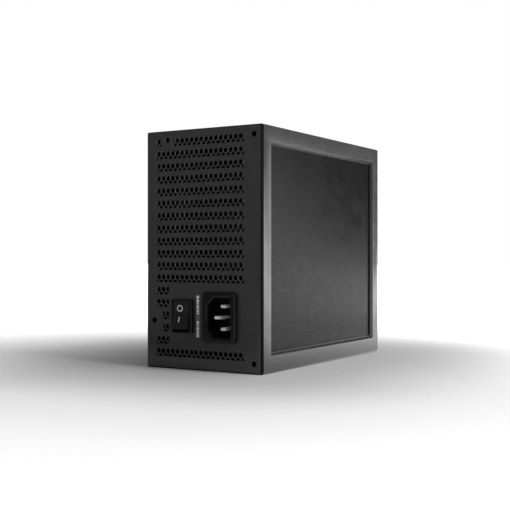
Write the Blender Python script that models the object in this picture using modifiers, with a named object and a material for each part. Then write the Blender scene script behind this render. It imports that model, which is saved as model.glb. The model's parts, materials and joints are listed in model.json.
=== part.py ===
"""An ATX power supply unit, 150 x 86 x 170 mm, as an assembly of its real pieces.

Frame: +Z up, metres. The origin is the middle of the narrow side that it stands on. The rear wall with
the mains inlet and the switch faces -Y, the fan side with its recessed mesh faces +X, and the front wall
with the modular output sockets faces +Y.
"""

import math

import bmesh
import bpy
from mathutils import Matrix, Vector

# ---- driving dimensions ----------------------------------------------------------------------------
WIDTH = 0.086  # X, the ATX rear face's short side
DEPTH = 0.170  # Y
HEIGHT = 0.150  # Z, the ATX rear face's long side
SHEET = 0.001  # sheet steel of the case
GAP = 0.0003  # clearance between touching pieces

FAN_X = WIDTH / 2
BACK_X = -WIDTH / 2
REAR_Y = -DEPTH / 2
FRONT_Y = DEPTH / 2
MID_Z = HEIGHT / 2

# rear wall: the ATX pattern of four 6-32 screw holes, spaced 138, 64, 74 and 114 mm
HOLE_INSET = 0.006
HOLE_R = 0.00175
HOLE_RIGHT = FAN_X - HOLE_INSET
HOLE_TOP = HEIGHT - HOLE_INSET
REAR_HOLES = (
    (HOLE_RIGHT, HOLE_TOP),
    (HOLE_RIGHT - 0.064, HOLE_TOP),
    (HOLE_RIGHT - 0.074, HOLE_TOP - 0.114),
    (HOLE_RIGHT, HOLE_TOP - 0.138),
)

# rear wall: vent bands, counted from the top
BAND_COUNT = 18
BAND_PITCH = 0.0078
BAND_HEIGHT = 0.00495
BAND_TOP = 0.145
VENT_LEFT = -0.0358
VENT_RIGHT = 0.0299
VENT_STEP_LEFT = -0.0307  # the two bands beside the left screw hole start here
VENT_SHORT_RIGHT = -0.0257  # the bands beside the switch end here
TOP_HOLE_SPAN = (-0.0317, -0.0229)  # solid part of the top band, round its screw hole
SHORT_BANDS = (12, 13, 16)
STEPPED_BANDS = (14, 15)

# fan side: window with sloped walls down to the mesh
WINDOW_Y = (-0.0748, 0.0750)
WINDOW_Z = (0.0105, 0.1400)
LIP_DEPTH = 0.0018  # from the outer face to the end of the sloped wall
LIP_SLOPE = 0.0012  # how far the wall runs inwards over that depth
LIP_WALL = 0.0010
MESH_SHEET = 0.0008
MESH_OVERLAP = 0.0020  # mesh hidden behind the lip on each side
MESH_ROWS = 8
MESH_COLUMNS = 9
MESH_OPEN_SHARE = 0.62

# case flanges and cover screws
FLANGE = 0.0055
SCREW_R = 0.0013
SCREW_HEAD_R = 0.0027
SCREW_HEAD = 0.0009
SCREW_LENGTH = 0.0050
RECESS_LONG = 0.0030  # cross recess in a screw's head
RECESS_WIDE = 0.0007
RECESS_DEEP = 0.0008
COVER_SCREW_X = -0.0370
COVER_SCREW_Y = 0.0600

# mains inlet, IEC C14 style: long side along Z, chamfered corners on the earth pin's side (-X)
INLET_X = 0.0133
INLET_Z = 0.0331
INLET_FLANGE = (0.0240, 0.0310)
INLET_FLANGE_THICK = 0.0030
INLET_BODY = (0.0200, 0.0270)
INLET_CAVITY = (0.0168, 0.0247)
INLET_CHAMFER = 0.0050
INLET_LEAD_IN = 0.0011
INLET_BACK_Y = -0.0715
INLET_FLOOR = 0.0015
PIN_WIDE = 0.0040
PIN_THICK = 0.0020
PIN_TAB_END_Y = -0.0670
PIN_SPACING = 0.0140  # line to neutral
PIN_OFFSET = 0.0020  # line and neutral this far to +X of the middle, earth this far to -X
PIN_TIP_Y = -0.0855
EARTH_TIP_Y = -0.0865

# rocker switch
SWITCH_X = -0.0144
SWITCH_Z = 0.0332
BEZEL = (0.0155, 0.0210)
BEZEL_THICK = 0.0025
SWITCH_BODY = (0.0136, 0.0197)
SWITCH_BACK_Y = -0.0710
SWITCH_FLOOR = 0.0015
ROCKER_WIDE = 0.0115
ROCKER_ARM = 0.0090
ROCKER_ANGLE = math.radians(11)  # either side of its middle position
ROCKER_PIVOT_Y = REAR_Y + 0.0011
ROCKER_VALLEY = 0.0040  # from the pivot out to the middle of the V-shaped face
ROCKER_SKIRT = 0.0020
ROCKER_CLEAR = 0.0002  # left to the housing at the ends through the whole swing
ROCKER_EDGE = 0.0004
TRUNNION_R = 0.0010
TERMINAL_SPACING = 0.0096
TERMINAL = (0.0048, 0.0008)
TERMINAL_Y = (SWITCH_BACK_Y - 0.00375, SWITCH_BACK_Y + 0.00525)

# fan: 135 mm square, 25 mm thick, air drawn in through the mesh
FAN_SIZE = 0.135
FAN_THICK = 0.025
FAN_Y = 0.003
FAN_FRONT_X = FAN_X - LIP_DEPTH - GAP - MESH_SHEET - GAP
FAN_BACK_X = FAN_FRONT_X - FAN_THICK
FAN_BORE_R = 0.0645
FAN_WALL = 0.0020
FAN_FLANGE = 0.0040
FAN_SCREW_SPACING = 0.1235
HUB_R = 0.0200
HUB_WALL = 0.0020
HUB_DEPTH = 0.0195
BLADE_COUNT = 9
BLADE_TIP_R = 0.0625
BLADE_CHORD = 0.0300
BLADE_THICK = 0.0014
BLADE_PITCH = (math.radians(52), math.radians(28))  # at the root and at the tip
BLADE_SPREAD = (0.62, 1.17)  # share of the chord at the root and at the tip
BLADE_LEAN = 0.28  # radians that the tip runs ahead of the root
BLADE_LIFT = 0.80  # share of the hub's depth
FAN_HOLE_R = 0.0022
STRUT_X = (FAN_BACK_X + 0.0005, FAN_BACK_X + 0.0025)
STRUT_WIDE = 0.0050
SHAFT_R = 0.0015
BEARING_R = 0.0036
BEARING_CLEAR = 0.00005
STATOR_CORE_R = 0.0075
POLE_REACH = 0.0145
POLE_WIDE = 0.0045
MAGNET_INNER_R = 0.0156

# circuit boards
BOARD_X = -0.0363  # solder side of the main board
BOARD_THICK = 0.0016
BOARD_Y = (-0.0620, 0.0700)
BOARD_Z = (0.0080, 0.1420)
TOP_X = BOARD_X + BOARD_THICK + GAP  # where the parts on the main board stand
STANDOFF_INSET = 0.0060
FIN_COUNT = 6
FIN_FOOT = 0.0080  # the fins start this far above the board
CORE_EDGE = 0.0006
WINDING_X = (0.22, 0.78)  # a transformer winding's share of the core's height
WINDING_Y = 0.72  # and of its length
WINDING_Z = 1.25  # and of its width
MODULAR_Y = 0.0730
MODULAR_Z = (0.0100, 0.1400)
MODULAR_FAN_EDGE = 0.0340
SOCKET_BACK_Y = MODULAR_Y + BOARD_THICK + GAP
PIN_PITCH = 0.0042
POWER_PITCH = 0.0030
WIRE_R = 0.0009

# (name, columns of cells, pitch, X, Z) of each two-row output socket, long side along Z
SOCKETS = (
    ("socket_main_18pin", 9, PIN_PITCH, -0.0260, 0.0330),
    ("socket_main_10pin", 5, PIN_PITCH, -0.0260, 0.0680),
    ("socket_12v_high_power", 6, POWER_PITCH, -0.0260, 0.0960),
    ("socket_cpu_pcie_1", 4, PIN_PITCH, -0.0090, 0.0240),
    ("socket_cpu_pcie_2", 4, PIN_PITCH, -0.0090, 0.0500),
    ("socket_cpu_pcie_3", 4, PIN_PITCH, -0.0090, 0.0760),
    ("socket_cpu_pcie_4", 4, PIN_PITCH, -0.0090, 0.1020),
    ("socket_peripheral_1", 3, PIN_PITCH, 0.0080, 0.0240),
    ("socket_peripheral_2", 3, PIN_PITCH, 0.0080, 0.0460),
    ("socket_peripheral_3", 3, PIN_PITCH, 0.0080, 0.0680),
)
SOCKET_WALL = 0.0008

# name: (colour, roughness, metallic)
FINISHES = {
    "case_steel": ((0.016, 0.016, 0.017), 0.40, 0.0),
    "mesh_steel": ((0.014, 0.014, 0.015), 0.40, 0.0),
    "black_plastic": ((0.006, 0.006, 0.0062), 0.32, 0.0),
    "rocker_plastic": ((0.009, 0.009, 0.0095), 0.36, 0.0),
    "fan_plastic": ((0.020, 0.020, 0.021), 0.50, 0.0),
    "nickel": ((0.75, 0.74, 0.70), 0.25, 1.0),
    "screw_black": ((0.030, 0.030, 0.030), 0.40, 0.8),
    "board": ((0.020, 0.060, 0.030), 0.50, 0.0),
    "insulator": ((0.030, 0.030, 0.030), 0.60, 0.0),
    "copper": ((0.60, 0.27, 0.12), 0.35, 1.0),
    "ferrite": ((0.060, 0.060, 0.065), 0.60, 0.2),
    "sleeve": ((0.020, 0.040, 0.090), 0.35, 0.0),
    "yellow_film": ((0.60, 0.45, 0.05), 0.40, 0.0),
    "aluminium": ((0.05, 0.05, 0.052), 0.40, 1.0),
    "magnet": ((0.080, 0.080, 0.085), 0.60, 0.4),
    "brass": ((0.60, 0.45, 0.20), 0.35, 1.0),
    "wire_brown": ((0.120, 0.050, 0.020), 0.50, 0.0),
    "wire_blue": ((0.020, 0.060, 0.250), 0.50, 0.0),
    "wire_green": ((0.050, 0.200, 0.050), 0.50, 0.0),
    "wire_black": ((0.015, 0.015, 0.015), 0.50, 0.0),
}


# ---- scene and helpers -----------------------------------------------------------------------------
def clear_scene():
    for obj in list(bpy.data.objects):
        bpy.data.objects.remove(obj, do_unlink=True)


def new_collection(name):
    collection = bpy.data.collections.new(name)
    bpy.context.scene.collection.children.link(collection)
    return collection


def finish_material(name):
    material = bpy.data.materials.get(name)
    if material is None:
        color, roughness, metallic = FINISHES[name]
        material = bpy.data.materials.new(name)
        material.use_nodes = True
        shader = material.node_tree.nodes["Principled BSDF"]
        shader.inputs["Base Color"].default_value = (*color, 1.0)
        shader.inputs["Roughness"].default_value = roughness
        shader.inputs["Metallic"].default_value = metallic
    return material


def add_mesh(name, mesh, finish=None, origin=(0, 0, 0)):
    """A new object: one of the parts with a finish, or else a cutter."""
    obj = bpy.data.objects.new(name, mesh)
    obj.location = origin
    if finish is None:
        cutters.objects.link(obj)
        obj.hide_render = True
        obj.display_type = "WIRE"
    else:
        parts.objects.link(obj)
        obj.data.materials.append(finish_material(finish))
    return obj


def from_bmesh(name, bm, finish=None, origin=(0, 0, 0)):
    bmesh.ops.recalc_face_normals(bm, faces=bm.faces)
    mesh = bpy.data.meshes.new(name)
    bm.to_mesh(mesh)
    bm.free()
    return add_mesh(name, mesh, finish, origin)


def put_cube(bm, spans):
    """Adds one box, given as its (low, high) spans along X, Y and Z, to a bmesh."""
    size = [high - low for low, high in spans]
    middle = [(high + low) / 2 for low, high in spans]
    place = Matrix.Translation(middle) @ Matrix.Diagonal((*size, 1.0))
    return bmesh.ops.create_cube(bm, size=1.0, matrix=place)["verts"]


def boxes(name, span_list, finish=None, origin=(0, 0, 0)):
    bm = bmesh.new()
    for spans in span_list:
        put_cube(bm, spans)
    return from_bmesh(name, bm, finish, origin)


def around(middle, size):
    return (middle - size / 2, middle + size / 2)


def between(ends, share):
    return ends[0] + (ends[1] - ends[0]) * share


def put_rod(bm, radius, start, end, segments=24):
    """Adds a round rod between two points to a bmesh."""
    start, end = Vector(start), Vector(end)
    turn = Vector((0, 0, 1)).rotation_difference(end - start).to_matrix().to_4x4()
    bmesh.ops.create_cone(
        bm,
        cap_ends=True,
        segments=segments,
        radius1=radius,
        radius2=radius,
        depth=(end - start).length,
        matrix=Matrix.Translation((start + end) / 2) @ turn,
    )


def rods(name, rod_list, finish=None, segments=24, origin=(0, 0, 0)):
    """One mesh of round rods, each (radius, start, end)."""
    bm = bmesh.new()
    for radius, start, end in rod_list:
        put_rod(bm, radius, start, end, segments)
    return from_bmesh(name, bm, finish, origin)


def combine(obj, other, operation="DIFFERENCE"):
    modifier = obj.modifiers.new(operation.lower(), "BOOLEAN")
    modifier.operation = operation
    modifier.solver = "EXACT"
    modifier.object = other


def round_shading(obj, degrees=35):
    obj.data.shade_smooth()
    obj.data.set_sharp_from_angle(angle=math.radians(degrees))


def turned(name, profile, start, direction, finish=None, steps=24):
    """A turned piece. The profile's (radius, height) points run from the top down to the bottom."""
    mesh = bpy.data.meshes.new(name)
    points = [(radius, 0, height) for radius, height in profile]
    mesh.from_pydata(points, [(i, i + 1) for i in range(len(points) - 1)], [])
    obj = add_mesh(name, mesh, finish, start)
    obj.rotation_euler = Vector((0, 0, 1)).rotation_difference(Vector(direction)).to_euler()
    screw = obj.modifiers.new("turn", "SCREW")
    screw.steps = steps
    screw.render_steps = steps
    screw.use_merge_vertices = True
    screw.merge_threshold = 0.00001
    screw.use_smooth_shade = True
    return obj


def outline_plate(name, outline, low_y, high_y, finish=None):
    """A plate across Y from a flat outline of (X, Z) points, as a welded mesh in place."""
    curve = bpy.data.curves.new(name, "CURVE")
    curve.dimensions = "2D"
    curve.fill_mode = "BOTH"
    curve.extrude = (high_y - low_y) / 2
    spline = curve.splines.new("POLY")
    spline.points.add(len(outline) - 1)
    for point, (x, z) in zip(spline.points, outline):
        point.co = (x, z, 0, 1)
    spline.use_cyclic_u = True
    guide = bpy.data.objects.new(name + "_guide", curve)
    bpy.context.scene.collection.objects.link(guide)
    guide.location = (0, (low_y + high_y) / 2, 0)
    guide.rotation_euler = (math.radians(90), 0, 0)
    bpy.context.view_layer.update()
    evaluated = guide.evaluated_get(bpy.context.evaluated_depsgraph_get())
    mesh = bpy.data.meshes.new_from_object(evaluated)
    mesh.transform(guide.matrix_world)
    bpy.data.objects.remove(guide, do_unlink=True)
    bm = bmesh.new()
    bm.from_mesh(mesh)
    bpy.data.meshes.remove(mesh)
    bmesh.ops.remove_doubles(bm, verts=bm.verts, dist=0.00001)
    return from_bmesh(name, bm, finish)


def rounded_outline(middle_x, middle_z, wide, high, radius, arc_steps=4):
    """The (X, Z) outline of a rectangle with round corners."""
    points = []
    corners = ((1, 1, 0), (-1, 1, 90), (-1, -1, 180), (1, -1, 270))
    for side_x, side_z, start in corners:
        center_x = middle_x + side_x * (wide / 2 - radius)
        center_z = middle_z + side_z * (high / 2 - radius)
        for step in range(arc_steps + 1):
            angle = math.radians(start + 90 * step / arc_steps)
            points.append((center_x + radius * math.cos(angle), center_z + radius * math.sin(angle)))
    return points


def wire(name, route, finish, radius=WIRE_R, samples=4):
    """A wire along a smooth curve through the route's points."""
    points = [Vector(p) for p in route]
    padded = [2 * points[0] - points[1], *points, 2 * points[-1] - points[-2]]
    smooth = []
    for i in range(1, len(padded) - 2):
        before, start, end, after = padded[i - 1 : i + 3]
        for step in range(samples):
            t = step / samples
            smooth.append(
                0.5
                * (
                    2 * start
                    + (end - before) * t
                    + (2 * before - 5 * start + 4 * end - after) * t**2
                    + (3 * start - before - 3 * end + after) * t**3
                )
            )
    smooth.append(points[-1])
    curve = bpy.data.curves.new(name, "CURVE")
    curve.dimensions = "3D"
    curve.bevel_depth = radius
    curve.bevel_resolution = 2
    curve.use_fill_caps = True
    spline = curve.splines.new("POLY")
    spline.points.add(len(smooth) - 1)
    for point, place in zip(spline.points, smooth):
        point.co = (*place, 1)
    obj = bpy.data.objects.new(name, curve)
    parts.objects.link(obj)
    curve.materials.append(finish_material(finish))
    return obj


# ---- case ------------------------------------------------------------------------------------------
def vent_openings():
    """The boxes that open the vent bands of the rear wall."""
    through = (REAR_Y - SHEET, REAR_Y + 2 * SHEET)
    openings = []
    for band in range(BAND_COUNT):
        spans = [(VENT_LEFT, VENT_RIGHT)]
        if band == 0:
            spans = [(VENT_LEFT, TOP_HOLE_SPAN[0]), (TOP_HOLE_SPAN[1], VENT_RIGHT)]
        elif band in SHORT_BANDS:
            spans = [(VENT_LEFT, VENT_SHORT_RIGHT)]
        elif band in STEPPED_BANDS:
            spans = [(VENT_STEP_LEFT, VENT_SHORT_RIGHT)]
        top = BAND_TOP - band * BAND_PITCH
        openings += [(span, through, (top - BAND_HEIGHT, top)) for span in spans]
    return openings


def socket_size(columns, pitch):
    """(across X, along Z) of a socket's housing with two rows of cells."""
    return 2 * pitch + 2 * SOCKET_WALL, columns * pitch + 2 * SOCKET_WALL


def socket_openings():
    through = (FRONT_Y - 2 * SHEET, FRONT_Y + SHEET)
    openings = []
    for _, columns, pitch, x, z in SOCKETS:
        wide, high = socket_size(columns, pitch)
        openings.append((around(x, wide + 2 * GAP), through, around(z, high + 2 * GAP)))
    return openings


def chassis_tray():
    """Rear, back and front walls folded from one sheet, with flanges that tuck under the cover."""
    tray = boxes(
        "chassis_tray", [((BACK_X, FAN_X), (REAR_Y, FRONT_Y), (0, HEIGHT))], "case_steel"
    )
    inner_y = (REAR_Y + SHEET, FRONT_Y - SHEET)
    inside = boxes("cut_tray_inside", [((BACK_X + SHEET, 2 * FAN_X), inner_y, (-SHEET, HEIGHT + SHEET))])
    combine(tray, inside)
    past = 2 * SHEET
    low_z = SHEET + GAP
    high_z = HEIGHT - SHEET - GAP
    edges = boxes(
        "cut_tray_edges",
        [
            ((BACK_X - past, BACK_X + past), inner_y, (-past, low_z)),
            ((BACK_X - past, BACK_X + past), inner_y, (high_z, HEIGHT + past)),
        ],
    )
    combine(tray, edges)
    flange_x = (FAN_X - 2 * SHEET - GAP, FAN_X - SHEET - GAP)
    bite = SHEET / 2
    rear_y = (REAR_Y + bite, REAR_Y + FLANGE)
    front_y = (FRONT_Y - FLANGE, FRONT_Y - bite)
    back_x = (BACK_X + bite, BACK_X + 2 * FLANGE)
    side_y = (REAR_Y + 2 * FLANGE, FRONT_Y - 2 * FLANGE)
    wall_x = (BACK_X + 3 * FLANGE, FAN_X - FLANGE)
    wall_z = (FLANGE, HEIGHT - FLANGE)
    strips = [(flange_x, rear_y, wall_z), (flange_x, front_y, wall_z)]
    for flange_z in ((low_z, low_z + SHEET), (high_z - SHEET, high_z)):
        strips.append((back_x, side_y, flange_z))
        strips.append((wall_x, rear_y, flange_z))
        strips.append((wall_x, front_y, flange_z))
    combine(tray, boxes("join_tray_flanges", strips), "UNION")
    holes = [(HOLE_R, (x, REAR_Y - SHEET, z), (x, REAR_Y + 2 * SHEET, z)) for x, z in REAR_HOLES]
    combine(tray, rods("cut_rear_screw_holes", holes, segments=16))
    cutouts = vent_openings() + socket_openings()
    through = (REAR_Y - SHEET, REAR_Y + 2 * SHEET)
    inlet_x = around(INLET_X, INLET_BODY[0] + 2 * GAP)
    inlet_z = around(INLET_Z, INLET_BODY[1] + 2 * GAP)
    cutouts.append((inlet_x, through, inlet_z))
    switch_x = around(SWITCH_X, SWITCH_BODY[0] + 2 * GAP)
    switch_z = around(SWITCH_Z, SWITCH_BODY[1] + 2 * GAP)
    cutouts.append((switch_x, through, switch_z))
    combine(tray, boxes("cut_tray_openings", cutouts))
    screw_holes = []
    for side_y in (-COVER_SCREW_Y, COVER_SCREW_Y):
        for low, high in ((0, 2 * FLANGE), (HEIGHT - 2 * FLANGE, HEIGHT)):
            start = (COVER_SCREW_X, side_y, low)
            screw_holes.append((SCREW_R + GAP, start, (COVER_SCREW_X, side_y, high)))
    combine(tray, rods("cut_tray_cover_screws", screw_holes, segments=16))


def window_spans(inset):
    return (
        (WINDOW_Y[0] + inset, WINDOW_Y[1] - inset),
        (WINDOW_Z[0] + inset, WINDOW_Z[1] - inset),
    )


def sloped_window(name):
    """The cutter of the fan window: it narrows by the slope over the lip's depth."""
    bm = bmesh.new()
    margin = SHEET
    outer_y, outer_z = window_spans(-LIP_SLOPE * margin / LIP_DEPTH)
    verts = put_cube(bm, ((FAN_X - LIP_DEPTH - margin, FAN_X + margin), outer_y, outer_z))
    middle_y = sum(WINDOW_Y) / 2
    middle_z = sum(WINDOW_Z) / 2
    total_inset = LIP_SLOPE * (LIP_DEPTH + 2 * margin) / LIP_DEPTH
    for vert in verts:
        if vert.co.x < FAN_X - LIP_DEPTH:
            vert.co.y -= math.copysign(total_inset, vert.co.y - middle_y)
            vert.co.z -= math.copysign(total_inset, vert.co.z - middle_z)
    return from_bmesh(name, bm)


def chassis_cover():
    """Fan side and the two narrow sides folded from one sheet, with the drawn lip round the window."""
    ends = (REAR_Y + SHEET + GAP, FRONT_Y - SHEET - GAP)
    cover = boxes("chassis_cover", [((BACK_X, FAN_X), ends, (0, HEIGHT))], "case_steel")
    inside = boxes(
        "cut_cover_inside",
        [((2 * BACK_X, FAN_X - SHEET), (2 * REAR_Y, 2 * FRONT_Y), (SHEET, HEIGHT - SHEET))],
    )
    combine(cover, inside)
    lip_y, lip_z = window_spans(-LIP_WALL)
    lip = boxes("join_window_lip", [((FAN_X - LIP_DEPTH, FAN_X - SHEET / 2), lip_y, lip_z)])
    combine(cover, lip, "UNION")
    combine(cover, sloped_window("cut_window"))
    sinks = []
    for side_y in (-COVER_SCREW_Y, COVER_SCREW_Y):
        for low, high in ((-SHEET, 2 * SHEET), (HEIGHT - 2 * SHEET, HEIGHT + SHEET)):
            start = (COVER_SCREW_X, side_y, low)
            sinks.append((SCREW_HEAD_R + GAP, start, (COVER_SCREW_X, side_y, high)))
    combine(cover, rods("cut_cover_screw_seats", sinks, segments=20))


def cover_screws():
    head_below = 0.0002  # the heads sit this far under the case's surface
    number = 0
    for side_y in (-COVER_SCREW_Y, COVER_SCREW_Y):
        for surface, out in ((0.0, -1), (HEIGHT, 1)):
            number += 1
            name = f"cover_screw_{number}"
            place = (COVER_SCREW_X, side_y, surface - out * head_below)
            profile = [
                (0, 0),
                (SCREW_HEAD_R, 0),
                (SCREW_HEAD_R, -SCREW_HEAD / 2),
                (SCREW_R, -SCREW_HEAD),
                (SCREW_R, -SCREW_LENGTH),
                (0, -SCREW_LENGTH),
            ]
            screw = turned(name, profile, place, (0, 0, out), "screw_black", steps=20)
            for arm in ("along", "across"):
                long, short = around(0, RECESS_LONG), around(0, RECESS_WIDE)
                plan = (long, short) if arm == "along" else (short, long)
                recess = boxes(f"cut_{name}_{arm}", [(*plan, around(0, RECESS_DEEP))], origin=place)
                combine(screw, recess)


def fan_mesh():
    """The perforated sheet behind the window, with a coarse grid of openings."""
    mesh_y, mesh_z = window_spans(LIP_SLOPE - MESH_OVERLAP)
    front = FAN_X - LIP_DEPTH - GAP
    sheet = boxes("fan_mesh", [((front - MESH_SHEET, front), mesh_y, mesh_z)], "mesh_steel")
    open_y, open_z = window_spans(2 * LIP_SLOPE)
    pitch_y = (open_y[1] - open_y[0]) / MESH_COLUMNS
    pitch_z = (open_z[1] - open_z[0]) / MESH_ROWS
    holes = []
    for column in range(MESH_COLUMNS):
        y = open_y[0] + (column + 0.5) * pitch_y
        for row in range(MESH_ROWS):
            z = open_z[0] + (row + 0.5) * pitch_z
            through = (front - 2 * MESH_SHEET, front + MESH_SHEET)
            holes.append((through, around(y, pitch_y * MESH_OPEN_SHARE), around(z, pitch_z * MESH_OPEN_SHARE)))
    combine(sheet, boxes("cut_mesh_openings", holes))


# ---- mains inlet -----------------------------------------------------------------------------------
def cavity_outline(grow):
    """The inlet recess: a rectangle whose two corners on the earth side are cut off."""
    half_x = INLET_CAVITY[0] / 2 + grow
    half_z = INLET_CAVITY[1] / 2 + grow
    cut = INLET_CHAMFER + grow * (2 - math.sqrt(2))
    corners = (
        (half_x, half_z),
        (cut - half_x, half_z),
        (-half_x, half_z - cut),
        (-half_x, cut - half_z),
        (cut - half_x, -half_z),
        (half_x, -half_z),
    )
    return [(INLET_X + x, INLET_Z + z) for x, z in corners]


def inlet_pin_places():
    """Name, middle (X, Z) and tip of each pin."""
    return (
        ("line", INLET_X + PIN_OFFSET, INLET_Z + PIN_SPACING / 2, PIN_TIP_Y),
        ("neutral", INLET_X + PIN_OFFSET, INLET_Z - PIN_SPACING / 2, PIN_TIP_Y),
        ("earth", INLET_X - PIN_OFFSET, INLET_Z, EARTH_TIP_Y),
    )


def mains_inlet():
    front = REAR_Y - GAP - INLET_FLANGE_THICK
    flange_corner = 0.0030
    outline = rounded_outline(INLET_X, INLET_Z, *INLET_FLANGE, flange_corner)
    housing = outline_plate("inlet_housing", outline, front, REAR_Y - GAP, "black_plastic")
    body_corner = 0.0010
    body_outline = rounded_outline(INLET_X, INLET_Z, *INLET_BODY, body_corner, 2)
    body = outline_plate("join_inlet_body", body_outline, REAR_Y - 2 * GAP, INLET_BACK_Y)
    combine(housing, body, "UNION")
    floor_y = INLET_BACK_Y - INLET_FLOOR
    combine(housing, outline_plate("cut_inlet_cavity", cavity_outline(0), front - SHEET, floor_y))
    lead_in = outline_plate(
        "cut_inlet_lead_in", cavity_outline(INLET_LEAD_IN), front - SHEET, front + INLET_LEAD_IN
    )
    combine(housing, lead_in)
    slots = []
    for name, x, z, tip_y in inlet_pin_places():
        slot_x = around(x, PIN_WIDE + 2 * GAP)
        slot_z = around(z, PIN_THICK + 2 * GAP)
        slots.append((slot_x, (floor_y - SHEET, INLET_BACK_Y + SHEET), slot_z))
        pin = boxes(
            f"inlet_pin_{name}",
            [(around(x, PIN_WIDE), (tip_y, PIN_TAB_END_Y), around(z, PIN_THICK))],
            "nickel",
        )
        rounding = pin.modifiers.new("rounded_edges", "BEVEL")
        rounding.width = 0.0003
        rounding.segments = 2
    combine(housing, boxes("cut_inlet_pin_slots", slots))


# ---- rocker switch ---------------------------------------------------------------------------------
ROCKER_HALF = ROCKER_ARM * math.cos(ROCKER_ANGLE)
ROCKER_TIP = ROCKER_VALLEY + ROCKER_ARM * math.sin(ROCKER_ANGLE)


def rocker_outline():
    """The rocker's side view as (Y, Z) from its pivot, in its middle position, with a V-shaped face."""
    return [
        (-ROCKER_TIP, ROCKER_HALF),
        (-ROCKER_VALLEY, 0.0),
        (-ROCKER_TIP, -ROCKER_HALF),
        (ROCKER_SKIRT, -ROCKER_HALF),
        (ROCKER_SKIRT, ROCKER_HALF),
    ]


def rocker_reach(height):
    """How far the pressed-in end reaches along Z, at a height above the pivot or at its own tip."""
    sine, cosine = math.sin(ROCKER_ANGLE), math.cos(ROCKER_ANGLE)
    on_end_face = min(ROCKER_TIP, (height + ROCKER_HALF * sine) / cosine)
    return on_end_face * sine + ROCKER_HALF * cosine


def switch_rocker():
    """The rocker, resting with its upper (off) end pressed in, on two trunnions along X."""
    bm = bmesh.new()
    ring = [bm.verts.new((-ROCKER_WIDE / 2, y, z)) for y, z in rocker_outline()]
    face = bm.faces.new(ring)
    grown = bmesh.ops.extrude_face_region(bm, geom=[face])["geom"]
    far = [item for item in grown if isinstance(item, bmesh.types.BMVert)]
    bmesh.ops.translate(bm, verts=far, vec=(ROCKER_WIDE, 0, 0))
    pivot = (SWITCH_X, ROCKER_PIVOT_Y, SWITCH_Z)
    rocker = from_bmesh("switch_rocker", bm, "rocker_plastic", pivot)
    rocker.rotation_euler = (-ROCKER_ANGLE, 0, 0)
    rounding = rocker.modifiers.new("rounded_edges", "BEVEL")
    rounding.width = ROCKER_EDGE
    rounding.segments = 2
    reach = SWITCH_BODY[0] / 2 - GAP / 3
    trunnion = [(TRUNNION_R, (-reach, 0, 0), (reach, 0, 0))]
    combine(rocker, rods("join_rocker_trunnions", trunnion, segments=16, origin=pivot), "UNION")


def switch_housing():
    front = REAR_Y - GAP - BEZEL_THICK
    shoulder = REAR_Y - GAP
    bezel_corner = 0.0012
    outline = rounded_outline(SWITCH_X, SWITCH_Z, *BEZEL, bezel_corner, 3)
    housing = outline_plate("switch_housing", outline, front, shoulder, "black_plastic")
    body_x, body_z = around(SWITCH_X, SWITCH_BODY[0]), around(SWITCH_Z, SWITCH_BODY[1])
    body = boxes("join_switch_body", [(body_x, (shoulder - GAP, SWITCH_BACK_Y), body_z)])
    combine(housing, body, "UNION")
    well_x = around(SWITCH_X, ROCKER_WIDE + 2 * GAP)
    outer_half = rocker_reach(ROCKER_TIP) + ROCKER_CLEAR
    inner_half = rocker_reach(ROCKER_PIVOT_Y - shoulder) + ROCKER_CLEAR
    outer_well = (well_x, (front - SHEET, shoulder), around(SWITCH_Z, 2 * outer_half))
    inner_well = (well_x, (front - SHEET, SWITCH_BACK_Y - SWITCH_FLOOR), around(SWITCH_Z, 2 * inner_half))
    combine(housing, boxes("cut_switch_outer_well", [outer_well]))
    combine(housing, boxes("cut_switch_inner_well", [inner_well]))
    start = (SWITCH_X - SWITCH_BODY[0], ROCKER_PIVOT_Y, SWITCH_Z)
    end = (SWITCH_X + SWITCH_BODY[0], ROCKER_PIVOT_Y, SWITCH_Z)
    combine(housing, rods("cut_trunnion_holes", [(TRUNNION_R + GAP / 2, start, end)], segments=16))
    slot_x = around(SWITCH_X, TERMINAL[0] + 2 * GAP)
    slot_y = (SWITCH_BACK_Y - 2 * SWITCH_FLOOR, SWITCH_BACK_Y + SHEET)
    slots = []
    for name, side in (("in", 1), ("out", -1)):
        z = SWITCH_Z + side * TERMINAL_SPACING / 2
        slots.append((slot_x, slot_y, around(z, TERMINAL[1] + 2 * GAP)))
        blade = (around(SWITCH_X, TERMINAL[0]), TERMINAL_Y, around(z, TERMINAL[1]))
        boxes(f"switch_terminal_{name}", [blade], "brass")
    combine(housing, boxes("cut_switch_terminal_slots", slots))


# ---- fan -------------------------------------------------------------------------------------------
def fan_screw_places():
    half = FAN_SCREW_SPACING / 2
    return [(FAN_Y + y * half, MID_Z + z * half) for y, z in ((1, 1), (-1, 1), (-1, -1), (1, -1))]


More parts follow.
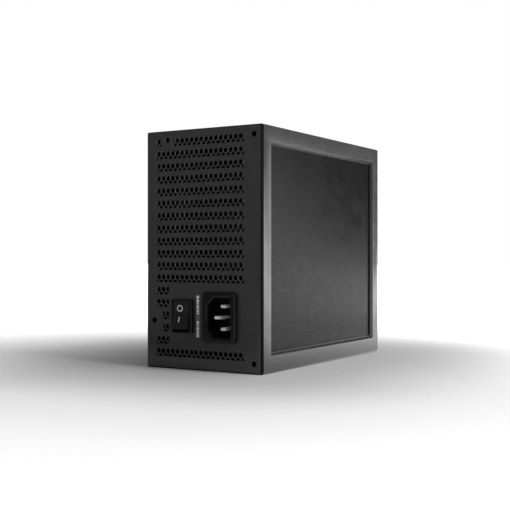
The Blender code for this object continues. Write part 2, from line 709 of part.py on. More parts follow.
def fan_frame():
    square = (around(FAN_Y, FAN_SIZE), around(MID_Z, FAN_SIZE))
    frame = boxes("fan_frame", [((FAN_BACK_X, FAN_FRONT_X), *square)], "fan_plastic")
    past = 0.002
    center = (FAN_Y, MID_Z)
    bore = [(FAN_BORE_R, (FAN_BACK_X - past, *center), (FAN_FRONT_X + past, *center))]
    combine(frame, rods("cut_fan_bore", bore, segments=48))
    waist_x = (FAN_BACK_X + FAN_FLANGE, FAN_FRONT_X - FAN_FLANGE)
    waist_square = (around(FAN_Y, FAN_SIZE + past), around(MID_Z, FAN_SIZE + past))
    waist = boxes("cut_fan_waist", [(waist_x, *waist_square)])
    tube = [(FAN_BORE_R + FAN_WALL, (FAN_BACK_X, *center), (FAN_FRONT_X, *center))]
    combine(waist, rods("keep_fan_tube", tube, segments=48))
    combine(frame, waist)
    start_x, end_x = FAN_BACK_X - past, FAN_FRONT_X + past
    holes = [(FAN_HOLE_R, (start_x, y, z), (end_x, y, z)) for y, z in fan_screw_places()]
    combine(frame, rods("cut_fan_screw_holes", holes, segments=12))
    reach = 2 * FAN_BORE_R + FAN_WALL
    across = (STRUT_X, around(FAN_Y, reach), around(MID_Z, STRUT_WIDE))
    upright = (STRUT_X, around(FAN_Y, STRUT_WIDE), around(MID_Z, reach))
    combine(frame, boxes("join_fan_strut_across", [across]), "UNION")
    combine(frame, boxes("join_fan_strut_upright", [upright]), "UNION")
    plate = [(HUB_R + SHEET, (STRUT_X[0] - GAP, *center), (STRUT_X[1] + GAP, *center))]
    combine(frame, rods("join_fan_motor_plate", plate, segments=32), "UNION")


HUB_BACK_X = FAN_BACK_X + 0.0038
HUB_FRONT_X = HUB_BACK_X + HUB_DEPTH


def fan_blade(number):
    """One blade: a grid bent to the hub's curve, twisted from root to tip and leaning forward."""
    rows, columns = 5, 3
    root_r = HUB_R - HUB_WALL / 2
    bm = bmesh.new()
    bmesh.ops.create_grid(bm, x_segments=columns, y_segments=rows, size=0.5)
    middle_x = (HUB_BACK_X + HUB_FRONT_X) / 2
    for vert in bm.verts:
        along = vert.co.y + 0.5
        across = vert.co.x
        radius = root_r + along * (BLADE_TIP_R - root_r)
        pitch = between(BLADE_PITCH, along)
        spread = BLADE_CHORD * between(BLADE_SPREAD, along) * math.cos(pitch) / radius
        angle = across * spread + BLADE_LEAN * along + 2 * math.pi * number / BLADE_COUNT
        lift = across * min(HUB_DEPTH * BLADE_LIFT, BLADE_CHORD * math.sin(pitch))
        vert.co = (
            middle_x + lift - FAN_BACK_X,
            radius * math.sin(angle),
            radius * math.cos(angle),
        )
    blade = from_bmesh(f"join_blade_{number + 1}", bm, origin=(FAN_BACK_X, FAN_Y, MID_Z))
    wall = blade.modifiers.new("thickness", "SOLIDIFY")
    wall.thickness = BLADE_THICK
    wall.offset = 0
    return blade


def fan_rotor():
    """The hub cup, open at the back, with its blades. It turns about X."""
    center = (FAN_Y, MID_Z)
    depth = HUB_DEPTH
    edge = HUB_WALL / 2
    inside = depth - HUB_WALL
    boss_end = depth - 3 * HUB_WALL
    profile = [
        (0, depth),
        (HUB_R - edge, depth),
        (HUB_R, depth - edge),
        (HUB_R, 0),
        (HUB_R - HUB_WALL, 0),
        (HUB_R - HUB_WALL, inside),
        (SHAFT_R + HUB_WALL, inside),
        (SHAFT_R + HUB_WALL, boss_end),
        (SHAFT_R + GAP, boss_end),
        (SHAFT_R + GAP, inside),
        (0, inside),
    ]
    rotor = turned("fan_rotor", profile, (HUB_BACK_X, *center), (1, 0, 0), "fan_plastic", steps=36)
    for number in range(BLADE_COUNT):
        combine(rotor, fan_blade(number), "UNION")


def ring(name, inner_r, outer_r, low_x, high_x, finish, steps=32):
    """A plain tube about the fan's axis."""
    center = (FAN_Y, MID_Z)
    obj = rods(name, [(outer_r, (low_x, *center), (high_x, *center))], finish, segments=steps)
    bore = [(inner_r, (low_x - SHEET, *center), (high_x + SHEET, *center))]
    combine(obj, rods(f"cut_{name}_bore", bore, segments=steps))
    round_shading(obj)
    return obj


def fan_motor():
    low_x = STRUT_X[1] + 2 * GAP
    center = (FAN_Y, MID_Z)
    shaft = rods(
        "fan_shaft", [(SHAFT_R, (low_x, *center), (HUB_FRONT_X - HUB_WALL - GAP, *center))], "nickel"
    )
    round_shading(shaft)
    bearing_end = HUB_FRONT_X - 3 * HUB_WALL - GAP
    ring("fan_bearing", SHAFT_R + BEARING_CLEAR, BEARING_R, low_x, bearing_end, "brass", 24)
    core_x = (low_x + 2 * SHEET, bearing_end - SHEET)
    stator = ring("fan_stator", BEARING_R + GAP, STATOR_CORE_R, *core_x, "copper", 24)
    pole_x = (low_x + 3 * SHEET, bearing_end - 2 * SHEET)
    inner = BEARING_R + 2 * GAP
    for name, side_y, side_z in (("a", 1, 0), ("b", -1, 0), ("c", 0, 1), ("d", 0, -1)):
        spans = []
        for side, middle in ((side_y, FAN_Y), (side_z, MID_Z)):
            if side:
                spans.append(tuple(sorted((middle + side * inner, middle + side * POLE_REACH))))
            else:
                spans.append(around(middle, POLE_WIDE))
        combine(stator, boxes(f"join_stator_pole_{name}", [(pole_x, *spans)]), "UNION")
    magnet_r = HUB_R - HUB_WALL - GAP
    magnet_x = (HUB_BACK_X + SHEET, HUB_FRONT_X - 2 * HUB_WALL)
    ring("fan_magnet_ring", MAGNET_INNER_R, magnet_r, *magnet_x, "magnet")


def fan_screws():
    """Domed screws that hold the fan's front flange, driven in from its back."""
    head_tall, head_r, shank_r = 0.0018, 0.0036, 0.0017
    flange_back = FAN_FRONT_X - FAN_FLANGE - GAP
    for number, (y, z) in enumerate(fan_screw_places(), 1):
        profile = [
            (0, head_tall),
            (0.9 * head_r, 0.6 * head_tall),
            (head_r, 0),
            (shank_r, 0),
            (shank_r, -FAN_FLANGE - GAP),
            (0, -FAN_FLANGE - GAP),
        ]
        turned(f"fan_screw_{number}", profile, (flange_back, y, z), (-1, 0, 0), "screw_black", 16)


# ---- inside: boards and components -----------------------------------------------------------------
def standoff_places():
    low_y, high_y = BOARD_Y[0] + STANDOFF_INSET, BOARD_Y[1] - STANDOFF_INSET
    low_z, high_z = BOARD_Z[0] + STANDOFF_INSET, BOARD_Z[1] - STANDOFF_INSET
    return [(low_y, low_z), (high_y, low_z), (high_y, high_z), (low_y, high_z)]


def boards():
    board = boxes("main_board", [((BOARD_X, BOARD_X + BOARD_THICK), BOARD_Y, BOARD_Z)], "board")
    inner_x = BACK_X + SHEET
    post_r = 0.0030
    neck_r = 0.0014
    barb = 0.0014
    holes = []
    for number, (y, z) in enumerate(standoff_places(), 1):
        holes.append((neck_r + GAP, (BOARD_X - SHEET, y, z), (BOARD_X + 3 * SHEET, y, z)))
        low = inner_x + GAP
        snap = BOARD_THICK + 2 * GAP
        top = BOARD_X - GAP - low
        profile = [
            (0, top + snap + barb),
            (neck_r, top + snap + barb),
            (neck_r + 2 * GAP, top + snap),
            (neck_r, top + snap),
            (neck_r, top),
            (post_r, top),
            (post_r, 0),
            (0, 0),
        ]
        turned(f"board_standoff_{number}", profile, (low, y, z), (1, 0, 0), "insulator", 16)
    combine(board, rods("cut_board_holes", holes, segments=12))
    sheet_x = (inner_x + 2 * GAP, inner_x + 4 * GAP)
    sheet = boxes("insulating_sheet", [(sheet_x, BOARD_Y, BOARD_Z)], "insulator")
    clear = [
        (post_r + GAP, (inner_x - SHEET, y, z), (inner_x + 3 * SHEET, y, z))
        for y, z in standoff_places()
    ]
    combine(sheet, rods("cut_sheet_holes", clear, segments=12))
    modular_x = (BOARD_X + SHEET, MODULAR_FAN_EDGE)
    boxes("modular_board", [(modular_x, (MODULAR_Y, MODULAR_Y + BOARD_THICK), MODULAR_Z)], "board")


def toroid(name, major, minor, place, axis, finish):
    bpy.ops.mesh.primitive_torus_add(
        major_radius=major, minor_radius=minor, major_segments=20, minor_segments=8, location=place
    )
    obj = bpy.context.object
    obj.name = name
    obj.data.name = name
    obj.rotation_euler = Vector((0, 0, 1)).rotation_difference(Vector(axis)).to_euler()
    for collection in list(obj.users_collection):
        collection.objects.unlink(obj)
    parts.objects.link(obj)
    obj.data.materials.append(finish_material(finish))
    round_shading(obj)


def standing(name, y, z, along_y, along_z, tall, finish, bevel=0.0):
    """A block on the main board."""
    obj = boxes(name, [((TOP_X, TOP_X + tall), around(y, along_y), around(z, along_z))], finish)
    if bevel:
        rounding = obj.modifiers.new("rounded_edges", "BEVEL")
        rounding.width = bevel
        rounding.segments = 2
    return obj


def can(name, y, z, radius, tall, finish):
    """A capacitor can on the main board, with its crimped groove near the board."""
    groove = radius * 0.06
    low = tall * 0.08
    profile = [
        (0, tall),
        (radius - groove, tall),
        (radius, tall - groove),
        (radius, low + 2 * groove),
        (radius - groove, low + groove),
        (radius, low),
        (radius, 0),
        (0, 0),
    ]
    turned(name, profile, (TOP_X, y, z), (1, 0, 0), finish, 20)


def heatsink(name, z, low_y, high_y, tall):
    """A finned plate along Y, standing on the board; the fins point up."""
    plate, fin, fin_thick = 0.0025, 0.0100, 0.0012
    fin_x = (TOP_X + FIN_FOOT, TOP_X + tall - SHEET)
    obj = boxes(name, [((TOP_X, TOP_X + tall), (low_y, high_y), around(z, plate))], "aluminium")
    fins = []
    for number in range(FIN_COUNT):
        y = low_y + (number + 0.5) * (high_y - low_y) / FIN_COUNT
        fins.append((fin_x, around(y, fin_thick), (z, z + plate / 2 + fin)))
    combine(obj, boxes(f"join_{name}_fins", fins), "UNION")


def transformer(name, y, z, core_y, core_z, tall):
    """A ferrite core with its taped winding showing on two sides."""
    core = standing(name, y, z, core_y, core_z, tall, "ferrite", CORE_EDGE)
    winding_x = (TOP_X + tall * WINDING_X[0], TOP_X + tall * WINDING_X[1])
    winding_y = around(y, core_y * WINDING_Y)
    winding_z = around(z, core_z * WINDING_Z)
    winding = boxes(f"join_{name}_winding", [(winding_x, winding_y, winding_z)])
    combine(core, winding, "UNION")


def components():
    """The parts on the main board, each placed by its middle (Y, Z)."""
    emi_r, emi_wire_r = 0.0085, 0.0045
    emi_x = TOP_X + emi_r + emi_wire_r + GAP / 3
    toroid("emi_choke", emi_r, emi_wire_r, (emi_x, -0.046, 0.028), (0, 1, 0), "copper")
    standing("x_capacitor", -0.032, 0.028, 0.014, 0.030, 0.022, "yellow_film", 0.0010)
    standing("bridge_rectifier", -0.014, 0.027, 0.0045, 0.026, 0.022, "ferrite")
    pfc_r, pfc_wire_r = 0.0120, 0.0062
    toroid("pfc_choke", pfc_r, pfc_wire_r, (TOP_X + pfc_wire_r + GAP / 3, 0.012, 0.030), (1, 0, 0), "copper")
    can("bulk_capacitor", 0.050, 0.031, 0.0150, 0.045, "sleeve")
    heatsink("primary_heatsink", 0.058, -0.050, 0.028, 0.040)
    transformer("main_transformer", -0.020, 0.089, 0.036, 0.028, 0.031)
    transformer("standby_transformer", 0.026, 0.086, 0.018, 0.016, 0.020)
    heatsink("secondary_heatsink", 0.113, -0.050, 0.034, 0.040)
    output_z, output_pitch = 0.072, 0.014
    for number in range(3):
        can(f"output_capacitor_{number + 1}", 0.052, output_z + output_pitch * number, 0.0050, 0.026, "sleeve")


# ---- front: modular output sockets -----------------------------------------------------------------
def output_sockets():
    latch_wide, latch_out = 0.0030, 0.0014
    for name, columns, pitch, x, z in SOCKETS:
        wide, high = socket_size(columns, pitch)
        housing = boxes(
            name, [(around(x, wide), (SOCKET_BACK_Y, FRONT_Y), around(z, high))], "black_plastic"
        )
        cell = pitch - SOCKET_WALL
        depth = (SOCKET_BACK_Y + 2 * SHEET, FRONT_Y + SHEET)
        cells = []
        for column in range(columns):
            cell_z = z + (column - (columns - 1) / 2) * pitch
            for row in (-0.5, 0.5):
                cells.append((around(x + row * pitch, cell), depth, around(cell_z, cell)))
        combine(housing, boxes(f"cut_{name}_cells", cells))
        side = x + wide / 2
        latch_y = (SOCKET_BACK_Y + 2 * SHEET, FRONT_Y - 2 * SHEET)
        ledge = boxes(f"join_{name}_latch", [((side - GAP, side + latch_out), latch_y, around(z, latch_wide))])
        combine(housing, ledge, "UNION")


# ---- wiring ----------------------------------------------------------------------------------------
def wiring():
    tab_y = PIN_TAB_END_Y + GAP
    terminal_y = TERMINAL_Y[1] + GAP
    line_x = INLET_X + PIN_OFFSET
    top_z = INLET_Z + PIN_SPACING / 2
    low_z = INLET_Z - PIN_SPACING / 2
    in_z = SWITCH_Z + TERMINAL_SPACING / 2
    out_z = SWITCH_Z - TERMINAL_SPACING / 2
    bend = 0.0016
    wire(
        "line_wire_inlet_to_switch",
        [
            (line_x - bend, tab_y + WIRE_R, top_z),
            (line_x - 0.006, tab_y + 2 * WIRE_R, top_z + 0.001),
            (0.002, terminal_y + 4 * WIRE_R, top_z + 0.003),
            (SWITCH_X + 0.006, terminal_y + 4 * WIRE_R, in_z + 0.002),
            (SWITCH_X, terminal_y + WIRE_R, in_z),
        ],
        "wire_brown",
    )
    board_x = TOP_X
    wire(
        "line_wire_switch_to_board",
        [
            (SWITCH_X, terminal_y + WIRE_R, out_z),
            (SWITCH_X - 0.006, terminal_y + 4 * WIRE_R, out_z - 0.002),
            (board_x + 0.008, -0.0585, out_z - 0.003),
            (board_x, -0.0580, out_z - 0.003),
        ],
        "wire_brown",
    )
    wire(
        "neutral_wire",
        [
            (line_x - bend, tab_y + WIRE_R, low_z),
            (line_x - 0.006, tab_y + 2 * WIRE_R, low_z - 0.001),
            (0.000, -0.0610, low_z - 0.006),
            (board_x + 0.010, -0.0575, low_z - 0.008),
            (board_x, -0.0570, low_z - 0.008),
        ],
        "wire_blue",
    )
    earth_x = INLET_X - PIN_OFFSET
    inner_x = BACK_X + SHEET + GAP
    wire(
        "earth_wire",
        [
            (earth_x - bend, tab_y + WIRE_R, INLET_Z),
            (earth_x - 0.006, tab_y + 3 * WIRE_R, INLET_Z - 0.002),
            (0.000, -0.0640, 0.022),
            (-0.020, -0.0690, 0.013),
            (inner_x + 0.006, -0.0730, 0.012),
            (inner_x, -0.0735, 0.012),
        ],
        "wire_green",
    )
    wire(
        "fan_lead",
        [
            (FAN_BACK_X - 2 * GAP - WIRE_R, FAN_Y - 0.004, MID_Z - 0.008),
            (FAN_BACK_X - 0.006, FAN_Y - 0.002, MID_Z - 0.007),
            (-0.010, 0.010, MID_Z + 0.002),
            (board_x + 0.010, 0.012, MID_Z + 0.000),
            (board_x, 0.012, MID_Z + 0.000),
        ],
        "wire_black",
    )


clear_scene()
parts = new_collection("power_supply_unit")
cutters = new_collection("cutters")
cutters.hide_render = True
chassis_tray()
chassis_cover()
fan_mesh()
cover_screws()
mains_inlet()
switch_housing()
switch_rocker()
fan_frame()
fan_rotor()
fan_motor()
fan_screws()
boards()
components()
output_sockets()
wiring()
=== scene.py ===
import json
import math

import bmesh
import bpy
from mathutils import Matrix, Vector


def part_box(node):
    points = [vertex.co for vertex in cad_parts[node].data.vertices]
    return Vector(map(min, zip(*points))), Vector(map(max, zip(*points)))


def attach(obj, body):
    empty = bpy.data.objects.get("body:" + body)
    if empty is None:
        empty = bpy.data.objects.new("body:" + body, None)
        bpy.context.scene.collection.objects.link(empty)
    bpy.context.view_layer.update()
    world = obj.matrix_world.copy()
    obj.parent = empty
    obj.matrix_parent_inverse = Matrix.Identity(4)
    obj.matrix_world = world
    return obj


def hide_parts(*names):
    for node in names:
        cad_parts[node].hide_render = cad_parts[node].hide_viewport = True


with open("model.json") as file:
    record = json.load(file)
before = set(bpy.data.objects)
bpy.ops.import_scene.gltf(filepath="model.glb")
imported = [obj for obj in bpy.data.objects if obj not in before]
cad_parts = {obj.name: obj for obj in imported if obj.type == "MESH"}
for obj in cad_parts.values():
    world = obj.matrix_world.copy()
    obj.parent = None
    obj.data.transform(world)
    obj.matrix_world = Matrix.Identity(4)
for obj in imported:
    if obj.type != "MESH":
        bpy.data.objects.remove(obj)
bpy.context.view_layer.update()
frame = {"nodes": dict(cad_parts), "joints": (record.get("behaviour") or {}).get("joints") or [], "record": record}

MM = 0.001


def mm(*values):
    """Millimetres as metres; nested tuples of numbers keep their nesting."""
    return tuple(mm(*v) if isinstance(v, tuple) else v * MM for v in values)


def spans_of(node):
    """A CAD node's (low, high) spans along X, Y and Z."""
    return tuple(zip(*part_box(node)))


def middle_of(*spans):
    return tuple(sum(span) / 2 for span in spans)


def size_of(*spans):
    return tuple(high - low for low, high in spans)


def around(middle, size):
    return (middle - size / 2, middle + size / 2)


def grown(span, margin):
    return (span[0] - margin, span[1] + margin)


def joint_place(name):
    return next(joint["pos_m"] for joint in frame["joints"] if joint["name"] == name)


# ---- sizes, from the frame and from the case's own dimensions ----
CASE_X, CASE_Y, CASE_Z = spans_of("chassis_tray")
BACK_X, FAN_X = CASE_X
REAR_Y, FRONT_Y = CASE_Y
BASE_Z, TOP_Z = CASE_Z
X, Y, Z = range(3)
SHEET = 1.0 * MM
GAP = 0.3 * MM
EDGE_STEP = 0.5 * MM  # the tray's open edges sit this far under the cover's face
HEX_CORNERS = [math.radians(30 + 60 * corner) for corner in range(6)]

# rear wall: screw holes and honeycomb vent bands, counted from the top
HOLE_R = 1.75 * MM
HOLE_RIGHT = FAN_X - 6 * MM
HOLE_TOP = TOP_Z - 6 * MM
REAR_HOLES = (
    (HOLE_RIGHT, HOLE_TOP),
    (HOLE_RIGHT - 64 * MM, HOLE_TOP),
    (HOLE_RIGHT - 74 * MM, HOLE_TOP - 114 * MM),
    (HOLE_RIGHT, HOLE_TOP - 138 * MM),
)
BAND_COUNT = 18
BAND_PITCH, BAND_HEIGHT, BAND_TOP = mm(7.8, 4.95, 145)
VENT_LEFT, VENT_RIGHT = mm(-35.8, 29.9)
VENT_STEP_LEFT, VENT_SHORT_RIGHT = mm(-30.7, -25.7)
TOP_HOLE_SPAN = mm(-31.7, -22.9)
SHORT_BANDS = (12, 13, 16)
STEPPED_BANDS = (14, 15)
CELL_PITCH, CELL_WEB = mm(3.6, 0.42)
CELL_DROP = 1.65 * MM  # from a band's top to the middles of its upper row
CELL_START = -30.3 * MM  # the first whole cell of the upper row
CELL_COLUMNS = 18
SMALLEST_CELL = (0.5 * MM) ** 2

# fan side: window, sloped lip and fine mesh
COVER_END = FRONT_Y - SHEET - GAP
WINDOW_Y, WINDOW_Z = mm((-74.8, 75.0), (10.5, 140.0))
LIP_DEPTH, LIP_SLOPE, LIP_WALL = mm(1.8, 1.2, 1.0)
FLANGE = 5.5 * MM
COVER_SCREW_X, COVER_SCREW_Y = mm(-37, 60)
SCREW_HOLE_R, SCREW_SEAT_R = mm(1.6, 3.0)
MESH_PITCH, MESH_WEB, MESH_THICK = mm(1.3, 0.42, 0.3)
RIM_WIDE, RIM_HEIGHT = mm(0.7, 0.5)

# mains inlet, IEC C14 style: long side along Z, chamfered corners on the earth pin's side (-X)
INLET_PINS = ("inlet_pin_line", "inlet_pin_neutral", "inlet_pin_earth")
INLET_BODY, INLET_CAVITY = mm((20.0, 27.0), (16.8, 24.7))
INLET_CHAMFER, INLET_LEAD_IN = mm(5.0, 1.1)
INLET_MIDDLE = middle_of(*spans_of("inlet_housing")[::2])
INLET_CORNER, INLET_ROUND_OFF, INLET_OVERLAP = mm(3, 0.7, 2.0)
PIN_CHAMFER, TAB_HOLE_R, TAB_HOLE_INSET = mm(0.8, 0.6, 1.6)

# back walls, pin openings and snap wings of the inlet and the switch
HOUSING_FLOOR, PIN_CLEARANCE = mm(1.5, 0.15)
WING_START, WING_SLOPED, WING_THICK, WING_TAPER = mm(1.6, 3, 1.2, 0.7)

# rocker switch
SWITCH_BODY = mm(13.6, 19.7)
SWITCH_CORNER, SWITCH_ROUND_OFF, SWITCH_OVERLAP = mm(1.2, 0.6, 0.95)
ROCKER_WIDE, ROCKER_ARM, ROCKER_VALLEY = mm(11.5, 9.0, 4.0)
ROCKER_BACK, ROCKER_DISH, ROCKER_EDGE, ROCKER_CLEARANCE = mm(2, 0.25, 0.45, 0.5)
PIVOT_HOLE_R, TRUNNION_R = mm(1.15, 0.95)
ROCKER_ANGLE = math.radians(11)
ROCKER_PIVOT = joint_place("switch_rock")
WELL_HALF_OUTER, WELL_HALF_INNER = mm(9.96, 9.47)
MARK_SHIFT, MARK_STROKE = mm(-1.0, 0.22)

# modular output sockets, two rows of cells each
SOCKET_NAMES = sorted(name for name in frame["nodes"] if name.startswith("socket_"))
SOCKET_WALL, PIN_PITCH, POWER_PITCH = mm(0.8, 4.2, 3.0)
LATCH_OUT, LATCH_WIDE, LATCH_SLOPE = mm(1.4, 3.0, 1.5)
PIN_SHARE, PIN_TIP_SHARE = 0.27, 0.45  # a pin's thickness by the pitch, and its tip's by the pin

# fan
FAN_MIDDLE = tuple(joint_place("fan_spin")[1:])
BORE_R, BORE_FLARE, BORE_LEAD, BORE_WALL = mm(64.5, 1.2, 2.5, 2)
FRAME_CORNER, WAIST_INSET = mm(7, 4)
RIB_PLACE, RIB_SIZE = mm((51, 56), (2, 20))
FRAME_HOLE_R, NUT_SPACE_R = mm(2.2, 4.2)
STRUT_WIDE, STRUT_SLANT, STRUT_TAPER = 4.6 * MM, 3 * MM, 0.8
HUB_R, HUB_DEPTH = mm(20, 19.5)
BLADE_COUNT = 9
BLADE_TIP_R, BLADE_CHORD, BLADE_THICK, BLADE_CAMBER = mm(62.5, 30, 1.5, 1.2)
BLADE_ROOT_R, BLADE_SETBACK = HUB_R - 1 * MM, 0.8 * MM
BLADE_PITCH = (math.radians(52), math.radians(28))
BLADE_SPREAD = (0.62, 1.17)
BLADE_LEAN = 0.28

# small parts on the main board: (Y, Z, radius, height), (Y, Z, length, width) and (Y, Z)
SMALL_CANS = mm((62, 118, 4, 14), (62, 128, 4, 14), (50, 120, 3, 11), (40, 86, 2.5, 9))
SMALL_CANS += mm((-48, 84, 3, 11), (-48, 96, 3, 11))
CHIPS = mm((-8, 64, 10, 4), (8, 130, 10, 4), (-30, 130, 6, 4), (44, 60, 6, 4), (10, 102, 8, 4))
DISCS = mm((-55, 70), (-2, 52), (30, 103))

# rating label on the side opposite the fan, and the printed strip between the switch and the inlet
LABEL_Y, LABEL_Z = mm((-58, 50), (34, 118))
STRIP_X, STRIP_Z = mm((-5.2, -2.0), (20.0, 46.8))
DASH_GROUPS = mm((46.0, 34.6), (30.4, 20.6))
DASH_LENGTHS = mm(1.0, 0.6, 1.3, 0.8, 0.5)
DASH_WIDTHS = mm(1.4, 1.1, 1.5)
DASH_GAP = 0.42 * MM

# studio: strengths of the light, tones of the floor and the camera
BACKDROP, OVERHEAD, DIM = 5.0, 1.15, 0.12
# FLOOR_PAINTED_SHADE is the floor's colour next to the unit, a painted shadow
FLOOR_TONE, FLOOR_PAINTED_SHADE, FLOOR_DARK_IN_REFLECTION = 0.98, 0.58, 0.06
FLOOR_GLOW, FLOOR_HALO, FLOOR_MIRRORED = 2.5, 0.25, 1.5
FLOOR_HALF = 6.0
FLOOR_DROP = 0.2 * MM
SOFTBOX_PLACE, SOFTBOX_TARGET = (1.02, -0.05, 0.95), (0, 0, 0.05)
SOFTBOX_SIZE, SOFTBOX_POWER = (0.6, 0.6), 10.0
CAMERA_PLACE = (0.33285, -0.576, 0.07106)
CAMERA_TURN = math.radians(31.01)
CAMERA_LENS, SENSOR_WIDTH, CAMERA_SHIFT = 67.65, 36, 0.0013


# ---- mesh helpers ----
def add_box(bm, *spans):
    """Adds a box, given as its low and high ends along each axis; returns its vertices."""
    size = Matrix.Diagonal((*size_of(*spans), 1.0))
    place = Matrix.Translation(middle_of(*spans)) @ size
    return bmesh.ops.create_cube(bm, size=1.0, matrix=place)["verts"]


def box_bm(*span_lists):
    bm = bmesh.new()
    for spans in span_lists:
        add_box(bm, *spans)
    return bm


def made(add, *arguments, **options):
    """A new bmesh with one body that an add function makes."""
    bm = bmesh.new()
    add(bm, *arguments, **options)
    return bm


def add_sections(bm, sections, closed=False):
    """Joins rings of points with equal counts; open runs are capped at both ends."""
    rings = [[bm.verts.new(point) for point in section] for section in sections]
    if not closed:
        bm.faces.new(rings[0])
        bm.faces.new(rings[-1][::-1])
    for near, far in zip(rings, rings[1:] + rings[:closed]):
        for i in range(len(near)):
            j = (i + 1) % len(near)
            bm.faces.new((near[i], far[i], far[j], near[j]))


def add_loft_y(bm, *sections):
    """Adds a body through (Y, outline) pairs, whose outlines are equal counts of (X, Z) points."""
    add_sections(bm, [[(x, y, z) for x, z in outline] for y, outline in sections])


def placed(point, direction):
    """The matrix that takes a body's own +Z to a direction and its origin to a point."""
    turn = Vector((0, 0, 1)).rotation_difference(Vector(direction)).to_matrix().to_4x4()
    return Matrix.Translation(point) @ turn


def towards_fan(x, y, z):
    """The place of a body that stands on a point and faces the fan side."""
    return placed((x, y, z), (1, 0, 0))


def add_rod(bm, radius, axis, span, middle, segments=32):
    """Adds a rod along the X, Y or Z axis; its middle is the other two coordinates."""
    start, end = [Vector((*middle[:axis], along, *middle[axis:])) for along in span]
    bmesh.ops.create_cone(
        bm,
        cap_ends=True,
        segments=segments,
        radius1=radius,
        radius2=radius,
        depth=(end - start).length,
        matrix=placed((start + end) / 2, end - start),
    )


def add_turned(bm, profile, place, steps=64):
    """Adds a body turned about its own Z, from (height, radius) pairs; a zero radius is a point."""
    rings = []
    for height, radius in profile:
        angles = [2 * math.pi * i / steps for i in range(steps if radius else 1)]
        points = [Vector((radius * math.cos(a), radius * math.sin(a), height)) for a in angles]
        rings.append([bm.verts.new(place @ point) for point in points])
    for near, far in zip(rings, rings[1:]):
        for i in range(steps):
            j = (i + 1) % steps
            corners = (near[i % len(near)], near[j % len(near)], far[j % len(far)], far[i % len(far)])
            bm.faces.new(list(dict.fromkeys(corners)))


def add_tube(bm, points, radius, sides):
    """Sweeps a round wire along a polyline, turning its section as little as possible."""
    points = [Vector(point) for point in points]
    angles = [2 * math.pi * k / sides for k in range(sides)]
    across = None
    sections = []
    for i, point in enumerate(points):
        along = (points[min(i + 1, len(points) - 1)] - points[max(i - 1, 0)]).normalized()
        across = across or along.orthogonal().normalized()
        across = (across - along * across.dot(along)).normalized()
        other = along.cross(across)
        sections.append([point + radius * (across * math.cos(a) + other * math.sin(a)) for a in angles])
    add_sections(bm, sections)


def scratch_object(bm):
    bmesh.ops.recalc_face_normals(bm, faces=bm.faces)
    mesh = bpy.data.meshes.new("scratch")
    bm.to_mesh(mesh)
    bm.free()
    obj = bpy.data.objects.new("scratch", mesh)
    bpy.context.scene.collection.objects.link(obj)
    return obj


def combined(base, other, operation):
    """The Boolean of two closed bmeshes, as a new bmesh. Both inputs are used up."""
    base_object, other_object = scratch_object(base), scratch_object(other)
    modifier = base_object.modifiers.new("combine", "BOOLEAN")
    modifier.operation = operation
    modifier.solver = "MANIFOLD"
    modifier.object = other_object
    evaluated = base_object.evaluated_get(bpy.context.evaluated_depsgraph_get())
    result = bmesh.new()
    result.from_mesh(evaluated.to_mesh())
    for used in (base_object, other_object):
        bpy.data.objects.remove(used, do_unlink=True)
    return result


def cut(base, *cutters):
    """A body without what the cutters, one after the other, take away."""
    for cutter in cutters:
        base = combined(base, cutter, "DIFFERENCE")
    return base


def joined(base, *others):
    for other in others:
        base = combined(base, other, "UNION")
    return base


def rounded(bm, edges, width, segments=3):
    bmesh.ops.bevel(
        bm,
        geom=list(edges),
        offset=width,
        offset_type="OFFSET",
        segments=segments,
        profile=0.5,
        affect="EDGES",
        clamp_overlap=True,
    )


def rounded_box(spans, edge, segments=3):
    """A box whose edges are all rounded."""
    bm = box_bm(spans)
    rounded(bm, bm.edges, edge, segments)
    return bm


def grouped(bodies):
    """Several closed bodies, which don't overlap, as one bmesh."""
    bm = bmesh.new()
    for body in bodies:
        mesh = bpy.data.meshes.new("part")
        body.to_mesh(mesh)
        body.free()
        bm.from_mesh(mesh)
        bpy.data.meshes.remove(mesh)
    return bm


def swap_x_y(bm):
    """Turns a body made along Y into one made along X."""
    for vert in bm.verts:
        vert.co.x, vert.co.y = vert.co.y, vert.co.x


def rounded_outline(middle, size, radius, arc_steps=6):
    """The outline of a rectangle with round corners, as (X, Z) points."""
    points = []
    for side_x, side_z, start in ((1, 1, 0), (-1, 1, 90), (-1, -1, 180), (1, -1, 270)):
        center_x = middle[0] + side_x * (size[0] / 2 - radius)
        center_z = middle[1] + side_z * (size[1] / 2 - radius)
        for step in range(arc_steps + 1):
            angle = math.radians(start + 90 * step / arc_steps)
            points.append((center_x + radius * math.cos(angle), center_z + radius * math.sin(angle)))
    return points


def piece(name, bm, material, nodes=(), body="case", edge=0.0, sharp=30):
    """Makes a piece from a bmesh: it rides on a body and stands for the CAD nodes that it replaces."""
    obj = scratch_object(bm)
    obj.name = name
    obj.data.name = name
    obj.data.materials.append(material)
    obj.data.shade_smooth()
    obj.data.set_sharp_from_angle(angle=math.radians(sharp))
    if edge:
        bevel = obj.modifiers.new("edges", "BEVEL")
        bevel.width = edge
        bevel.segments = 2
        bevel.limit_method = "ANGLE"
        bevel.angle_limit = math.radians(sharp)
        bevel.harden_normals = True
    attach(obj, body)
    if nodes:
        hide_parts(*nodes)
    return obj


# ---- shader numbers and materials ----
def feed(socket, value):
    """Links an output to a socket, or sets the socket's own number or colour."""
    value = getattr(value, "socket", value)
    if isinstance(value, bpy.types.NodeSocket):
        socket.id_data.links.new(value, socket)
    else:
        socket.default_value = value


